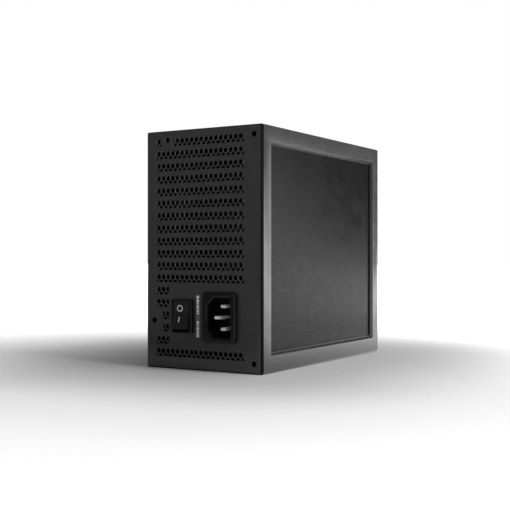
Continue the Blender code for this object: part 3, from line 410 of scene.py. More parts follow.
class Value:
    """A number made by shader nodes; arithmetic on it adds the nodes that work it out."""

    def __init__(self, socket):
        self.socket = socket

    def node(self, kind, inputs):
        """Adds a node and feeds its inputs, given as (number, value) pairs."""
        made_node = self.socket.id_data.nodes.new(kind)
        for number, value in inputs:
            feed(made_node.inputs[number], value)
        return made_node

    def math(self, operation, other=0.0):
        node = self.node("ShaderNodeMath", ((0, self), (1, other)))
        node.operation = operation
        return Value(node.outputs[0])

    def __add__(self, other):
        return self.math("ADD", other)

    def __sub__(self, other):
        return self.math("SUBTRACT", other)

    def __mul__(self, other):
        return self.math("MULTIPLY", other)

    def ramp(self, start, end, first=0.0, last=1.0):
        """A smooth step from the first number, where this one is at the start, to the last."""
        node = self.node("ShaderNodeMapRange", enumerate((self, start, end, first, last)))
        node.interpolation_type = "SMOOTHSTEP"
        return Value(node.outputs["Result"])

    def choose(self, first, second):
        """The first number where this one is 0, the second where it is 1."""
        return Value(self.node("ShaderNodeMix", ((0, self), (2, first), (3, second))).outputs[0])

    def parts(self):
        """The X, Y and Z of a vector."""
        return [Value(part) for part in self.node("ShaderNodeSeparateXYZ", ((0, self),)).outputs]


class Surface:
    """A Principled material with short calls for the noise, mixing and bump that a finish needs."""

    def __init__(self, name, color, roughness, **sockets):
        self.material = bpy.data.materials.new(name)
        self.material.use_nodes = True
        self.tree = self.material.node_tree
        self.shader = self.tree.nodes["Principled BSDF"]
        self.shader.inputs["Base Color"].default_value = (*color, 1.0)
        self.shader.inputs["Roughness"].default_value = roughness
        for socket, value in sockets.items():
            self.shader.inputs[socket.replace("_", " ")].default_value = value
        self.position = self.node("ShaderNodeTexCoord").outputs["Object"]

    def node(self, kind, **inputs):
        made_node = self.tree.nodes.new(kind)
        for name, value in inputs.items():
            feed(made_node.inputs[name.replace("_", " ")], value)
        return made_node

    def noise(self, size, detail=2.0, stretch=(1, 1, 1)):
        """Noise whose features are about the given size in metres."""
        place = self.node("ShaderNodeVectorMath", Vector=self.position)
        place.operation = "MULTIPLY"
        place.inputs[1].default_value = [1 / (size * s) for s in stretch]
        vector = place.outputs["Vector"]
        return self.node("ShaderNodeTexNoise", Vector=vector, Scale=1.0, Detail=detail).outputs["Fac"]

    def spread(self, value, low, high):
        """Maps noise, which stays near its middle, onto a range."""
        limits = {"From Min": 0.3, "From Max": 0.7, "To Min": low, "To Max": high}
        return self.node("ShaderNodeMapRange", Value=value, **limits).outputs["Result"]

    def color_from(self, factor, first, second):
        mix = self.node("ShaderNodeMix")
        mix.data_type = "RGBA"
        for number, value in ((0, factor), (6, (*first, 1.0)), (7, (*second, 1.0))):
            feed(mix.inputs[number], value)
        feed(self.shader.inputs["Base Color"], mix.outputs[2])

    def roughness_from(self, factor, low, high):
        feed(self.shader.inputs["Roughness"], self.spread(factor, low, high))

    def bump(self, height, depth):
        """Adds bump of a real depth in metres; a second call stacks on the first."""
        bump = self.node("ShaderNodeBump", Height=height, Distance=depth, Strength=1.0)
        normal = self.shader.inputs["Normal"]
        if normal.links:
            feed(bump.inputs["Normal"], normal.links[0].from_socket)
        feed(normal, bump.outputs["Normal"])


def grained(name, color, roughness, tone, gloss, *bumps, even=False, **sockets):
    """A finish that drifts in tone and gloss, with one or more grains.

    The tone is (noise size, detail, darkest, lightest) with shares of the colour, and the gloss
    (noise size, detail, below, above) with steps from the roughness. A bump is (noise size, detail,
    depth) and a stretch where it has one. An even tone spreads the noise over the whole range.
    """
    surface = Surface(name, color, roughness, **sockets)
    size, detail, dark, light = tone
    factor = surface.noise(size, detail)
    factor = surface.spread(factor, 0.0, 1.0) if even else factor
    surface.color_from(factor, [c * dark for c in color], [c * light for c in color])
    if gloss:
        size, detail, below, above = gloss
        surface.roughness_from(surface.noise(size, detail), roughness - below, roughness + above)
    for size, detail, depth, *stretch in bumps:
        surface.bump(surface.noise(size, detail, *stretch), depth)
    return surface.material


def powder_coat(name, color, roughness, specular=0.5):
    """Fine matt powder coat: orange peel, a finer grain and slight drifts of tone and gloss."""
    tone, gloss = (22 * MM, 2, 0.88, 1.12), (9 * MM, 4, 0.04, 0.04)
    grains = (0.55 * MM, 2, 0.004 * MM), (0.14 * MM, 1, 0.0025 * MM)
    return grained(name, color, roughness, tone, gloss, *grains, Specular_IOR_Level=specular)


def moulded(name, color, roughness, grain=0.010 * MM, specular=0.5):
    """Moulded plastic: a fine spark-eroded grain, faint flow marks and small changes of gloss."""
    tone, gloss, eroded = (7 * MM, 3, 0.85, 1.15), (3 * MM, 3, 0.05, 0.05), (0.18 * MM, 2, grain)
    return grained(name, color, roughness, tone, gloss, eroded, Specular_IOR_Level=specular)


def plated(name, color, roughness, metallic=1.0):
    """Plated or bare metal: fine drawing lines, cloudy tone and a few duller spots."""
    tone, gloss = (2.5 * MM, 4, 0.8, 1.0), (1.2 * MM, 3, 0.06, 0.12)
    lines = (0.12 * MM, 2, 0.004 * MM, (1, 14, 1))
    return grained(name, color, roughness, tone, gloss, lines, Metallic=metallic)


def printed(name, color, roughness):
    """Screen-printed ink: slightly uneven cover with a soft sheen."""
    return grained(name, color, roughness, (0.6 * MM, 3, 0.85, 1.0), None, (0.1 * MM, 2, 0.004 * MM))


def speckled(name, color, roughness, size, depth):
    """Sintered or moulded matt stuff: a coarse speckle with small pits."""
    tone, gloss, pits = (size, 4, 0.65, 1.5), (4 * size, 2, 0.08, 0.08), (0.5 * size, 3, depth)
    return grained(name, color, roughness, tone, gloss, pits, even=True)


def glossy_cover(name, color, roughness, size=4 * MM):
    """Shrunk sleeve, tape or enamel: soft streaks of tone, a slight waviness and an even gloss."""
    tone, gloss = (size, 3, 0.8, 1.15), (0.5 * size, 3, 0.06, 0.1)
    waves, grain = (0.6 * size, 2, 0.05 * MM, (1, 1, 3)), (0.1 * MM, 2, 0.003 * MM)
    return grained(name, color, roughness, tone, gloss, waves, grain)


def rubber(name, color):
    """Wire insulation: even, slightly waxy, with a faint extrusion line."""
    tone, gloss = (3 * MM, 2, 0.85, 1.1), (1 * MM, 3, 0.08, 0.1)
    return grained(name, color, 0.5, tone, gloss, (0.3 * MM, 2, 0.01 * MM, (6, 1, 1)))


def circuit_board(name, mask, copper):
    """Solder mask over a net of copper tracks, with patches of a different gloss."""
    board = Surface(name, mask, 0.35, Specular_IOR_Level=0.25)
    kind, place = "ShaderNodeTexVoronoi", board.position
    net = board.node(kind, Vector=place, Scale=1 / (4 * MM), Randomness=0.0)
    net.feature = "DISTANCE_TO_EDGE"
    patches = board.node(kind, Vector=place, Scale=1 / (7 * MM), Randomness=0.7)
    patches.distance = "MANHATTAN"
    limits = {"From Min": 0.05, "From Max": 0.09}
    tracks = board.node("ShaderNodeMapRange", Value=net.outputs["Distance"], **limits).outputs["Result"]
    board.color_from(tracks, copper, mask)
    board.roughness_from(patches.outputs["Distance"], 0.28, 0.42)
    board.bump(tracks, 0.03 * MM)
    board.bump(board.noise(0.4 * MM), 0.008 * MM)
    return board.material


# ---- case ----
def clipped(outline, x_span, z_span):
    """A convex outline cut down to a rectangle."""
    limits = zip((0, 0, 1, 1), (*x_span, *z_span), (1, -1, 1, -1))
    for axis, limit, keep in limits:
        kept = []
        for before, point in zip(outline[-1:] + outline[:-1], outline):
            inside = (point[axis] - limit) * keep >= 0
            if inside != ((before[axis] - limit) * keep >= 0):
                t = (limit - before[axis]) / (point[axis] - before[axis])
                kept.append(tuple(b + t * (p - b) for b, p in zip(before, point)))
            if inside:
                kept.append(point)
        outline = kept
    return outline


def outline_area(outline):
    pairs = zip(outline, outline[1:] + outline[:1])
    return abs(sum(a[0] * b[1] - b[0] * a[1] for a, b in pairs)) / 2


def vent_windows():
    """The (X, Z) rectangles of the vent bands."""
    windows = []
    for band in range(BAND_COUNT):
        spans = [(VENT_LEFT, VENT_RIGHT)]
        if band == 0:
            spans = [(VENT_LEFT, TOP_HOLE_SPAN[0]), (TOP_HOLE_SPAN[1], VENT_RIGHT)]
        elif band in SHORT_BANDS:
            spans = [(VENT_LEFT, VENT_SHORT_RIGHT)]
        elif band in STEPPED_BANDS:
            spans = [(VENT_STEP_LEFT, VENT_SHORT_RIGHT)]
        top = BAND_TOP - band * BAND_PITCH
        windows += [(span, (top - BAND_HEIGHT, top)) for span in spans]
    return windows


def honeycomb_cutters():
    """Prisms for the punched cells: two staggered rows in each band, clipped to the band."""
    cell_r = (CELL_PITCH - CELL_WEB) / math.sqrt(3)
    row_drop = CELL_PITCH * math.sqrt(3) / 2
    bm = bmesh.new()
    for x_span, z_span in vent_windows():
        for row in range(2):
            middle_z = z_span[1] - CELL_DROP - row * row_drop
            for column in range(-2, CELL_COLUMNS):
                middle_x = CELL_START + (column + row * 0.5) * CELL_PITCH
                corners = [(math.cos(a), math.sin(a)) for a in HEX_CORNERS]
                cell = [(middle_x + cell_r * x, middle_z + cell_r * z) for x, z in corners]
                cell = clipped(cell, x_span, z_span)
                if len(cell) > 2 and outline_area(cell) > SMALLEST_CELL:
                    add_loft_y(bm, (REAR_Y - SHEET, cell), (REAR_Y + 2 * SHEET, cell))
    return bm


def add_node_opening(bm, node, y_span, margin):
    """Adds a cutter that takes the box of a CAD node through a wall."""
    x_span, _, z_span = spans_of(node)
    add_box(bm, grown(x_span, margin), y_span, grown(z_span, margin))


def socket_spans(name):
    """A socket housing's spans along X and Z, without the latch ledge on its +X side."""
    x_span, _, z_span = spans_of(name)
    return (x_span[0], x_span[1] - LATCH_OUT), z_span


def add_cover_screw_rods(bm, radius, z_spans, segments):
    for side_y in (-COVER_SCREW_Y, COVER_SCREW_Y):
        for z_span in z_spans:
            add_rod(bm, radius, Z, z_span, (COVER_SCREW_X, side_y), segments)


def finish_sheet(sheet, finish_of):
    """Gives each face of a sheet its finish: 0 the coat, 1 a near-black one that paints shade, 2 a lighter one
    that paints highlights.
    """
    for finish in (painted_shade_coat, painted_highlight_coat):
        sheet.data.materials.append(finish)
    for polygon in sheet.data.polygons:
        polygon.material_index = finish_of(polygon)


def tray_shell():
    """The folded tray: rear, front and back walls with short flanges under the cover."""
    past = 2 * SHEET
    inner_y = grown(CASE_Y, -SHEET)
    low_z, high_z = BASE_Z + SHEET + GAP, TOP_Z - SHEET - GAP
    whole_z = grown(CASE_Z, past)
    back_wall = grown((BACK_X, BACK_X), past)
    body = rounded_box(((BACK_X, FAN_X - EDGE_STEP), CASE_Y, CASE_Z), 0.9 * SHEET, 4)
    inside = box_bm(
        ((BACK_X + SHEET, 2 * FAN_X), inner_y, whole_z),
        (back_wall, inner_y, (whole_z[0], low_z)),
        (back_wall, inner_y, (high_z, whole_z[1])),
    )
    bite = SHEET / 2
    flange_x = (FAN_X - past - GAP, FAN_X - SHEET - GAP)
    rear_y = (REAR_Y + bite, REAR_Y + FLANGE)
    front_y = (FRONT_Y - FLANGE, FRONT_Y - bite)
    wall_z = grown(CASE_Z, -FLANGE)
    strips = [(flange_x, rear_y, wall_z), (flange_x, front_y, wall_z)]
    back_x = (BACK_X + bite, BACK_X + 2 * FLANGE)
    side_y = grown(CASE_Y, -2 * FLANGE)
    wall_x = (BACK_X + 3 * FLANGE, FAN_X - FLANGE)
    for flange_z in ((low_z, low_z + SHEET), (high_z - SHEET, high_z)):
        strips += [(back_x, side_y, flange_z), (wall_x, rear_y, flange_z), (wall_x, front_y, flange_z)]
    return joined(cut(body, inside), box_bm(*strips))


def tray_sheet():
    openings = bmesh.new()
    through_rear = (REAR_Y - SHEET, REAR_Y + 2 * SHEET)
    for hole in REAR_HOLES:
        add_rod(openings, HOLE_R, Y, through_rear, hole)
    add_node_opening(openings, "inlet_housing", through_rear, GAP - INLET_OVERLAP)
    add_node_opening(openings, "switch_housing", through_rear, GAP - SWITCH_OVERLAP)
    for name in SOCKET_NAMES:
        x_span, z_span = socket_spans(name)
        through_front = (FRONT_Y - 2 * SHEET, FRONT_Y + SHEET)
        add_box(openings, grown(x_span, GAP), through_front, grown(z_span, GAP))
    screw_z = ((BASE_Z, 2 * FLANGE), (TOP_Z - 2 * FLANGE, TOP_Z))
    add_cover_screw_rods(openings, SCREW_HOLE_R, screw_z, 20)
    body = cut(tray_shell(), openings, honeycomb_cutters())
    tray = piece("tray_sheet", body, case_coat, ["chassis_tray"], edge=0.12 * MM)
    edge_x = FAN_X - EDGE_STEP - 0.75 * SHEET
    margin = 0.45 * SHEET

    def finish_of(face):
        """The vent cells' walls get a lighter coat, a painted highlight; the inside and the open edges get a
        near-black coat, painted shade.
        """
        x, y, z = face.center
        in_vents = VENT_LEFT < x < VENT_RIGHT and 2 * SHEET < z < BAND_TOP
        # painted highlight: the vent cells' walls are made lighter than the coat
        if in_vents and y < REAR_Y + SHEET and abs(face.normal.y) < 0.5:
            return 2
        # painted shade: the inside of the side wall and the walls' rounded outer edges by the cover's seam are
        # made near-black
        past_x = x > edge_x or x < BACK_X + margin
        past_z = z > TOP_Z - margin or z < BASE_Z + margin
        inside = face.normal.x > 0.9 and x < 0
        return int(inside or (abs(y) > COVER_END and (past_x or past_z)))

    finish_sheet(tray, finish_of)


def window_cutter():
    """The cutter of the fan window, which narrows over the lip's depth."""
    bm = bmesh.new()
    grow = LIP_SLOPE * SHEET / LIP_DEPTH
    deep = LIP_SLOPE * (LIP_DEPTH + 2 * SHEET) / LIP_DEPTH
    middle_y, middle_z = middle_of(WINDOW_Y, WINDOW_Z)
    x_span = (FAN_X - LIP_DEPTH - SHEET, FAN_X + SHEET)
    for vert in add_box(bm, x_span, grown(WINDOW_Y, grow), grown(WINDOW_Z, grow)):
        if vert.co.x < FAN_X - LIP_DEPTH:
            vert.co.y -= math.copysign(deep, vert.co.y - middle_y)
            vert.co.z -= math.copysign(deep, vert.co.z - middle_z)
    return bm


def cover_sheet():
    """The U-shaped cover with its round folds, the lipped fan window and the screw seats."""
    body = box_bm((CASE_X, (-COVER_END, COVER_END), CASE_Z))
    folds = [
        edge
        for edge in body.edges
        if all(vert.co.x > 0 for vert in edge.verts)
        and abs(edge.verts[0].co.y - edge.verts[1].co.y) > SHEET
    ]
    rounded(body, folds, 1.3 * SHEET, 5)
    inside = ((2 * BACK_X, FAN_X - SHEET), (2 * REAR_Y, 2 * FRONT_Y), grown(CASE_Z, -SHEET))
    body = cut(body, box_bm(inside))
    lip_x = (FAN_X - LIP_DEPTH, FAN_X - SHEET / 2)
    lip = box_bm((lip_x, grown(WINDOW_Y, LIP_WALL), grown(WINDOW_Z, LIP_WALL)))
    seat_z = ((BASE_Z - SHEET, BASE_Z + 2 * SHEET), (TOP_Z - 2 * SHEET, TOP_Z + SHEET))
    seats = made(add_cover_screw_rods, SCREW_SEAT_R, seat_z, 32)
    body = cut(joined(body, lip), window_cutter(), seats)
    cover = piece("cover_sheet", body, case_coat, ["chassis_cover"], edge=0.15 * MM)
    # painted shade: the cover's cut ends, in the seam, are made near-black
    finish_sheet(cover, lambda face: int(abs(face.center.y) > COVER_END - 0.01 * MM))


def mesh_points(x_span, start, columns, rows):
    """The corners of the mesh's holes on both faces, and a function that numbers them."""
    hole_r = (MESH_PITCH - MESH_WEB) / math.sqrt(3)
    row_step = MESH_PITCH * math.sqrt(3) / 2
    points = []
    for row in range(rows[0], rows[1] + 1):
        for column in range(columns):
            y = start[0] + (row + 0.5) * row_step
            z = start[1] + (column + 0.5 + 0.5 * (row % 2)) * MESH_PITCH
            for x in x_span:
                points += [(x, y + hole_r * math.sin(a), z + hole_r * math.cos(a)) for a in HEX_CORNERS]

    def number(cell, corner, side):
        return (((cell[0] - rows[0]) * columns + cell[1]) * 2 + side) * 6 + corner

    return points, number


def mesh_faces(number, columns, rows):
    """The holes' walls, and the webs between neighbouring holes on both faces.

    Odd rows are shifted by half a pitch, so a hole has a neighbour to its upper right and left.
    """
    walls, webs = [], []
    for row in range(*rows):
        odd = row % 2
        for column in range(columns):
            here, right = (row, column), (row, column + 1)
            up_right, up_left = (row + 1, column + odd), (row + 1, column + odd - 1)
            for a, b in zip(range(6), (1, 2, 3, 4, 5, 0)):
                corners = ((a, 0), (b, 0), (b, 1), (a, 1))
                walls.append([number(here, corner, side) for corner, side in corners])
            has_right, has_up_right = right[1] < columns, up_right[1] < columns
            has_up_left = up_left[1] >= 0
            shapes = (
                (has_right, ((here, 0), (right, 2), (right, 3), (here, 5))),
                (has_up_right, ((here, 1), (up_right, 3), (up_right, 4), (here, 0))),
                (has_up_left, ((here, 2), (up_left, 4), (up_left, 5), (here, 1))),
                (has_right and has_up_right, ((here, 0), (up_right, 4), (right, 2))),
                (has_up_right and has_up_left, ((here, 1), (up_left, 5), (up_right, 3))),
            )
            for side in (0, 1):
                webs += [[number(*corner, side) for corner in shape] for fits, shape in shapes if fits]
    return walls, webs


def perforated_sheet(name, x_span, start, columns, rows, nodes=()):
    """A thin sheet punched with a hexagonal lattice and closed all round its zigzag edge.

    Its rows run along Z and follow each other along Y, from the (Y, Z) start.
    """
    points, number = mesh_points(x_span, start, columns, rows)
    walls, webs = mesh_faces(number, columns, rows)
    mesh = bpy.data.meshes.new(name)
    mesh.from_pydata(points, [], walls + webs)
    bm = bmesh.new()
    bm.from_mesh(mesh)
    bpy.data.meshes.remove(mesh)
    bm.faces.ensure_lookup_table()
    loose = [face for face in bm.faces[: len(walls)] if any(edge.is_boundary for edge in face.edges)]
    bmesh.ops.delete(bm, geom=loose, context="FACES_ONLY")
    bm.verts.ensure_lookup_table()
    on_front = [vert.index % 12 < 6 for vert in bm.verts]
    rim = [edge for edge in bm.edges if edge.is_boundary and all(on_front[v.index] for v in edge.verts)]
    for edge in rim:
        a, b = edge.verts
        bm.faces.new((a, b, bm.verts[b.index + 6], bm.verts[a.index + 6]))
    for group, context in ((bm.edges, "EDGES"), (bm.verts, "VERTS")):
        bmesh.ops.delete(bm, geom=[part for part in group if not part.link_faces], context=context)
    piece(name, bm, mesh_coat, nodes)


def fan_mesh():
    """The fine mesh behind the window, in two halves that meet along one row of holes, and its rim."""
    low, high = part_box("fan_mesh")
    columns = int((high.z - low.z) / MESH_PITCH - 0.5)
    rows = int((high.y - low.y) / (MESH_PITCH * math.sqrt(3) / 2))
    layout = ((high.x, high.x - MESH_THICK), (low.y, low.z), columns)
    perforated_sheet("mesh_rear_half", *layout, (0, rows // 2), ["fan_mesh"])
    perforated_sheet("mesh_front_half", *layout, (rows // 2, rows - 1))
    inner_y, inner_z = grown(WINDOW_Y, -LIP_SLOPE), grown(WINDOW_Z, -LIP_SLOPE)
    rim_x = (high.x + 0.05 * MM, high.x + RIM_HEIGHT)
    opening = box_bm((grown(rim_x, SHEET), grown(inner_y, -RIM_WIDE), grown(inner_z, -RIM_WIDE)))
    rim = cut(box_bm((rim_x, inner_y, inner_z)), opening)
    piece("mesh_rim", rim, black_plastic, edge=0.1 * MM)


# ---- mains inlet and rocker switch ----
def add_crowned_plate(bm, middle, size, radius, front_y, back_y, round_off):
    """A plate across Y with round corners, whose front edge is rounded off."""
    steps = 4
    sections = []
    for step in range(steps + 1):
        angle = math.radians(90 * step / steps)
        inset = round_off * (1 - math.sin(angle))
        shrunk = (size[0] - 2 * inset, size[1] - 2 * inset)
        y = front_y + round_off * (1 - math.cos(angle))
        sections.append((y, rounded_outline(middle, shrunk, radius - inset)))
    add_loft_y(bm, *sections, (back_y, rounded_outline(middle, size, radius)))


def snap_wings(middle, reach, offsets, wide, back_y):
    """The catches on both long sides of a snap-in body, which slope down towards the back."""
    wings = bmesh.new()
    for side in (-1, 1):
        wing_z = middle[1] + side * reach
        z_span = around(wing_z, WING_THICK)
        for offset in offsets:
            x_span = around(middle[0] + offset, wide)
            for vert in add_box(wings, x_span, (REAR_Y + WING_START, back_y), z_span):
                if vert.co.y > REAR_Y + WING_SLOPED and (vert.co.z - wing_z) * side > 0:
                    vert.co.z -= side * WING_TAPER
    return wings


def cavity_outline(grow):
    """The inlet recess: a rectangle whose two corners on the earth pin's side are cut off."""
    half_x = INLET_CAVITY[0] / 2 + grow
    half_z = INLET_CAVITY[1] / 2 + grow
    cut = INLET_CHAMFER + grow * (2 - math.sqrt(2))
    upper = ((half_x, half_z), (cut - half_x, half_z), (-half_x, half_z - cut))
    corners = upper + tuple((x, -z) for x, z in reversed(upper))
    return [(INLET_MIDDLE[0] + x, INLET_MIDDLE[1] + z) for x, z in corners]


def inlet_housing():
    x_span, (low_y, high_y), z_span = spans_of("inlet_housing")
    flange_back = REAR_Y - GAP
    floor_y = high_y - HOUSING_FLOOR
    size = size_of(x_span, z_span)
    plate = made(
        add_crowned_plate, INLET_MIDDLE, size, INLET_CORNER, low_y, flange_back, INLET_ROUND_OFF
    )
    outline = rounded_outline(INLET_MIDDLE, INLET_BODY, 1 * MM)
    barrel = made(add_loft_y, (flange_back - GAP, outline), (high_y, outline))
    mouth, throat = cavity_outline(INLET_LEAD_IN), cavity_outline(0)
    recess = made(
        add_loft_y,
        (low_y - SHEET, mouth),
        (low_y + 0.45 * INLET_LEAD_IN, mouth),
        (low_y + INLET_LEAD_IN, throat),
        (floor_y, throat),
    )
    slots = bmesh.new()
    for node in INLET_PINS:
        add_node_opening(slots, node, (floor_y - SHEET, high_y + SHEET), PIN_CLEARANCE)
    wings = snap_wings(INLET_MIDDLE, INLET_BODY[1] / 2 + 0.2 * MM, (0,), 7 * MM, high_y - 2 * MM)
    body = joined(cut(joined(plate, barrel), recess, slots), wings)
    piece("inlet_shell", body, black_plastic, ["inlet_housing"], edge=0.15 * MM)


def inlet_pins():
    """Flat pins whose tips are chamfered on all four sides, with a hole in the tab at the back."""
    for node in INLET_PINS:
        x_span, (low_y, high_y), z_span = spans_of(node)
        middle, size = middle_of(x_span, z_span), size_of(x_span, z_span)
        tip = rounded_outline(middle, (size[0] - PIN_CHAMFER, size[1] - PIN_CHAMFER), 0.2 * MM, 3)
        full = rounded_outline(middle, size, 0.25 * MM, 3)
        pin = made(add_loft_y, (low_y, tip), (low_y + PIN_CHAMFER, full), (high_y, full))
        hole = (middle[0], high_y - TAB_HOLE_INSET)
        pin = cut(pin, made(add_rod, TAB_HOLE_R, Z, grown(z_span, SHEET), hole, 20))
        piece(node.replace("inlet_pin", "pin"), pin, pin_tin_and_painted_highlight, [node], edge=0.06 * MM)


def switch_housing():
    x_span, (low_y, high_y), z_span = spans_of("switch_housing")
    middle = middle_of(x_span, z_span)
    shoulder = REAR_Y - GAP
    size = size_of(x_span, z_span)
    plate = made(add_crowned_plate, middle, size, SWITCH_CORNER, low_y, shoulder, SWITCH_ROUND_OFF)
    barrel_y = (shoulder - GAP, high_y)
    barrel = box_bm((around(middle[0], SWITCH_BODY[0]), barrel_y, around(middle[1], SWITCH_BODY[1])))
    body = joined(plate, barrel)
    well_x = around(middle[0], ROCKER_WIDE + ROCKER_CLEARANCE)
    outer_y, inner_y = (low_y - SHEET, shoulder), (shoulder - 0.1 * MM, high_y - HOUSING_FLOOR)
    for well_y, half in ((outer_y, WELL_HALF_OUTER), (inner_y, WELL_HALF_INNER)):
        body = cut(body, box_bm((well_x, well_y, around(middle[1], 2 * half))))
    openings = made(add_rod, PIVOT_HOLE_R, X, x_span, ROCKER_PIVOT[1:])
    for node in ("switch_terminal_in", "switch_terminal_out"):
        add_node_opening(openings, node, (high_y - 2 * HOUSING_FLOOR, high_y + SHEET), PIN_CLEARANCE)
    wings = snap_wings(middle, SWITCH_BODY[1] / 2, mm(-3.6, 3.6), 2.6 * MM, high_y - 4 * MM)
    body = joined(cut(body, openings), wings)
    piece("switch_shell", body, black_plastic, ["switch_housing"], edge=0.12 * MM)


def rocker_place():
    """From the rocker's own frame, with the pivot at the origin and the V level, to its rest."""
    return Matrix.Translation(ROCKER_PIVOT) @ Matrix.Rotation(-ROCKER_ANGLE, 4, "X")


def rocker_face(along, lift=0.0):
    """A point (Y, Z) on the V-shaped face: along runs from the valley up (+) or down (-) an arm."""
    side = 1 if along >= 0 else -1
    y = -ROCKER_VALLEY - abs(along) * math.sin(ROCKER_ANGLE) - lift * math.cos(ROCKER_ANGLE)
    z = along * math.cos(ROCKER_ANGLE) - side * lift * math.sin(ROCKER_ANGLE)
    return y, z


def switch_rocker():
    """The V-shaped paddle with dished arms, round edges and the trunnion it rocks on."""
    half = ROCKER_ARM * math.cos(ROCKER_ANGLE)
    samples = 12
    outline = []
    for step in range(samples + 1):
        along = ROCKER_ARM * (1 - 2 * step / samples)
        dish = ROCKER_DISH * math.sin(math.pi * (abs(along) / ROCKER_ARM))
        outline.append(rocker_face(along, -dish))
    outline += [(ROCKER_BACK, -half), (ROCKER_BACK, half)]
    bm = made(add_sections, [[(x, y, z) for y, z in outline] for x in around(0, ROCKER_WIDE)])
    rim = [e for e in bm.edges if len(e.link_faces) == 2 and e.calc_face_angle() > math.radians(60)]
    rounded(bm, rim, ROCKER_EDGE, 4)
    reach = SWITCH_BODY[0] / 2 - 0.1 * MM
    bm = joined(bm, made(add_rod, TRUNNION_R, X, (-reach, reach), (0, 0)))
    bm.transform(rocker_place())
    piece("rocker_paddle", bm, rocker_plastic, ["switch_rocker"], "rocker")


def rocker_marks():
    """The raised ring for off on the upper arm and the raised bar for on, on the lower one."""
    ring_middle, ring_r, turns, sides = 4.2 * MM, 1.8 * MM, 48, 8
    ring = []
    for turn in range(turns):
        angle = 2 * math.pi * turn / turns
        section = []
        for side in range(sides):
            lean = 2 * math.pi * side / sides
            radius = ring_r + MARK_STROKE * math.cos(lean)
            along, lift = ring_middle + radius * math.sin(angle), 0.1 * MM * math.sin(lean) - 0.2 * MM
            section.append((radius * math.cos(angle) + MARK_SHIFT, *rocker_face(along, lift)))
        ring.append(section)
    bar_middle, bar_long, steps = -2.7 * MM, 3.4 * MM, 8
    crown = [(1, -0.5 * MM), (1, -0.12 * MM), (0.6, -0.08 * MM)]
    crown += [(-wide, lift) for wide, lift in reversed(crown)]
    bar = []
    for step in range(steps + 1):
        along = bar_middle + bar_long * (step / steps - 0.5)
        places = [(wide * MARK_STROKE * 1.1 + MARK_SHIFT, lift) for wide, lift in crown]
        bar.append([(x, *rocker_face(along, lift)) for x, lift in places])
    for name, sections in (("rocker_mark_off", ring), ("rocker_mark_on", bar)):
        bm = made(add_sections, sections, closed=sections is ring)
        bm.transform(rocker_place())
        piece(name, bm, mark_paint, body="rocker", sharp=60)


# ---- printed strip on the rear wall ----
def rear_strip():
    """A thin printed strip between the switch and the inlet, with plain dashes in two groups."""
    middle = middle_of(STRIP_X, STRIP_Z)
    outline = rounded_outline(middle, size_of(STRIP_X, STRIP_Z), 0.5 * MM, 4)
    backing = made(add_loft_y, (REAR_Y - 0.06 * MM, outline), (REAR_Y + 0.02 * MM, outline))
    piece("rear_strip", backing, strip_film)
    dashes = bmesh.new()
    dash_y = (REAR_Y - 0.1 * MM, REAR_Y - 0.05 * MM)
    for group, (z, bottom) in enumerate(DASH_GROUPS):
        count = 2 * group
        while z > bottom + 0.5 * MM:
            long = DASH_LENGTHS[count % len(DASH_LENGTHS)]
            wide = DASH_WIDTHS[count % len(DASH_WIDTHS)]
            low_z = max(z - long, bottom)
            add_box(dashes, around(middle[0], wide), dash_y, (low_z, z))
            z = low_z - DASH_GAP
            count += 1
    piece("rear_strip_dashes", dashes, print_white)


# ---- modular output sockets and screws ----
def cell_outline(middle, size, keyed):
    """A square cell; a keyed one has its two corners on the -X side cut off."""
    half, cut = size / 2, size / 4 if keyed else 0.0
    right = ((half, half), (half, -half))
    left = ((cut - half, -half), (-half, cut - half), (-half, half - cut), (cut - half, half))
    return [(middle[0] + x, middle[1] + z) for x, z in dict.fromkeys(right + left)]


def output_socket(name):
    """A keyed two-row socket with its latch ledge and one tapered pin in each cell."""
    (_, ledge_x), (low_y, high_y), _ = spans_of(name)
    x_span, z_span = socket_spans(name)
    middle, size = middle_of(x_span, z_span), size_of(x_span, z_span)
    pitch = POWER_PITCH if "12v" in name else PIN_PITCH
    columns = round((size[1] - 2 * SOCKET_WALL) / pitch)
    full = rounded_outline(middle, size, 0.6 * MM, 4)
    end = rounded_outline(middle, (size[0] - 0.5 * MM, size[1] - 0.5 * MM), 0.4 * MM, 4)
    body = made(add_loft_y, (low_y, full), (high_y - 0.25 * MM, full), (high_y, end))
    ledge = bmesh.new()
    latch_y = (low_y + 2 * SHEET, high_y - 2 * SHEET)
    for vert in add_box(ledge, (x_span[1] - GAP, ledge_x), latch_y, around(middle[1], LATCH_WIDE)):
        if vert.co.x > x_span[1] and vert.co.y > latch_y[1] - SHEET:
            vert.co.y -= LATCH_SLOPE
    cells, pins = bmesh.new(), bmesh.new()
    thick = PIN_SHARE * pitch
    for column in range(columns):
        cell_z = middle[1] + (column - (columns - 1) / 2) * pitch
        for row in (-0.5, 0.5):
            place = (middle[0] + row * pitch, cell_z)
            cell = cell_outline(place, pitch - SOCKET_WALL, keyed=(column + (row > 0)) % 2 == 0)
            add_loft_y(cells, (low_y + 2 * SHEET, cell), (high_y + SHEET, cell))
            stem = rounded_outline(place, (thick, thick), 0.1 * MM, 2)
            point = PIN_TIP_SHARE * thick
            tip = rounded_outline(place, (point, point), 0.05 * MM, 2)
            stem_y = (low_y + 1.5 * SHEET, high_y - 2.6 * SHEET)
            add_loft_y(pins, (stem_y[0], stem), (stem_y[1], stem), (high_y - 1.6 * SHEET, tip))
    body = cut(joined(body, ledge), cells)
    piece(name + "_shell", body, socket_plastic, [name], edge=0.1 * MM)
    piece(name + "_pins", pins, nickel)


def cross_recess(place, span, deep):
    """A cutter for a cross recess whose arms narrow towards the bottom."""
    arms = []
    for turn in (0, math.pi / 2):
        arm = bmesh.new()
        for vert in add_box(arm, around(0, span), around(0, 0.24 * span), (-deep, deep)):
            if vert.co.z < 0:
                vert.co.x *= 0.35
                vert.co.y *= 0.7
        arm.transform(place @ Matrix.Rotation(turn, 4, "Z"))
        arms.append(arm)
    return joined(*arms)


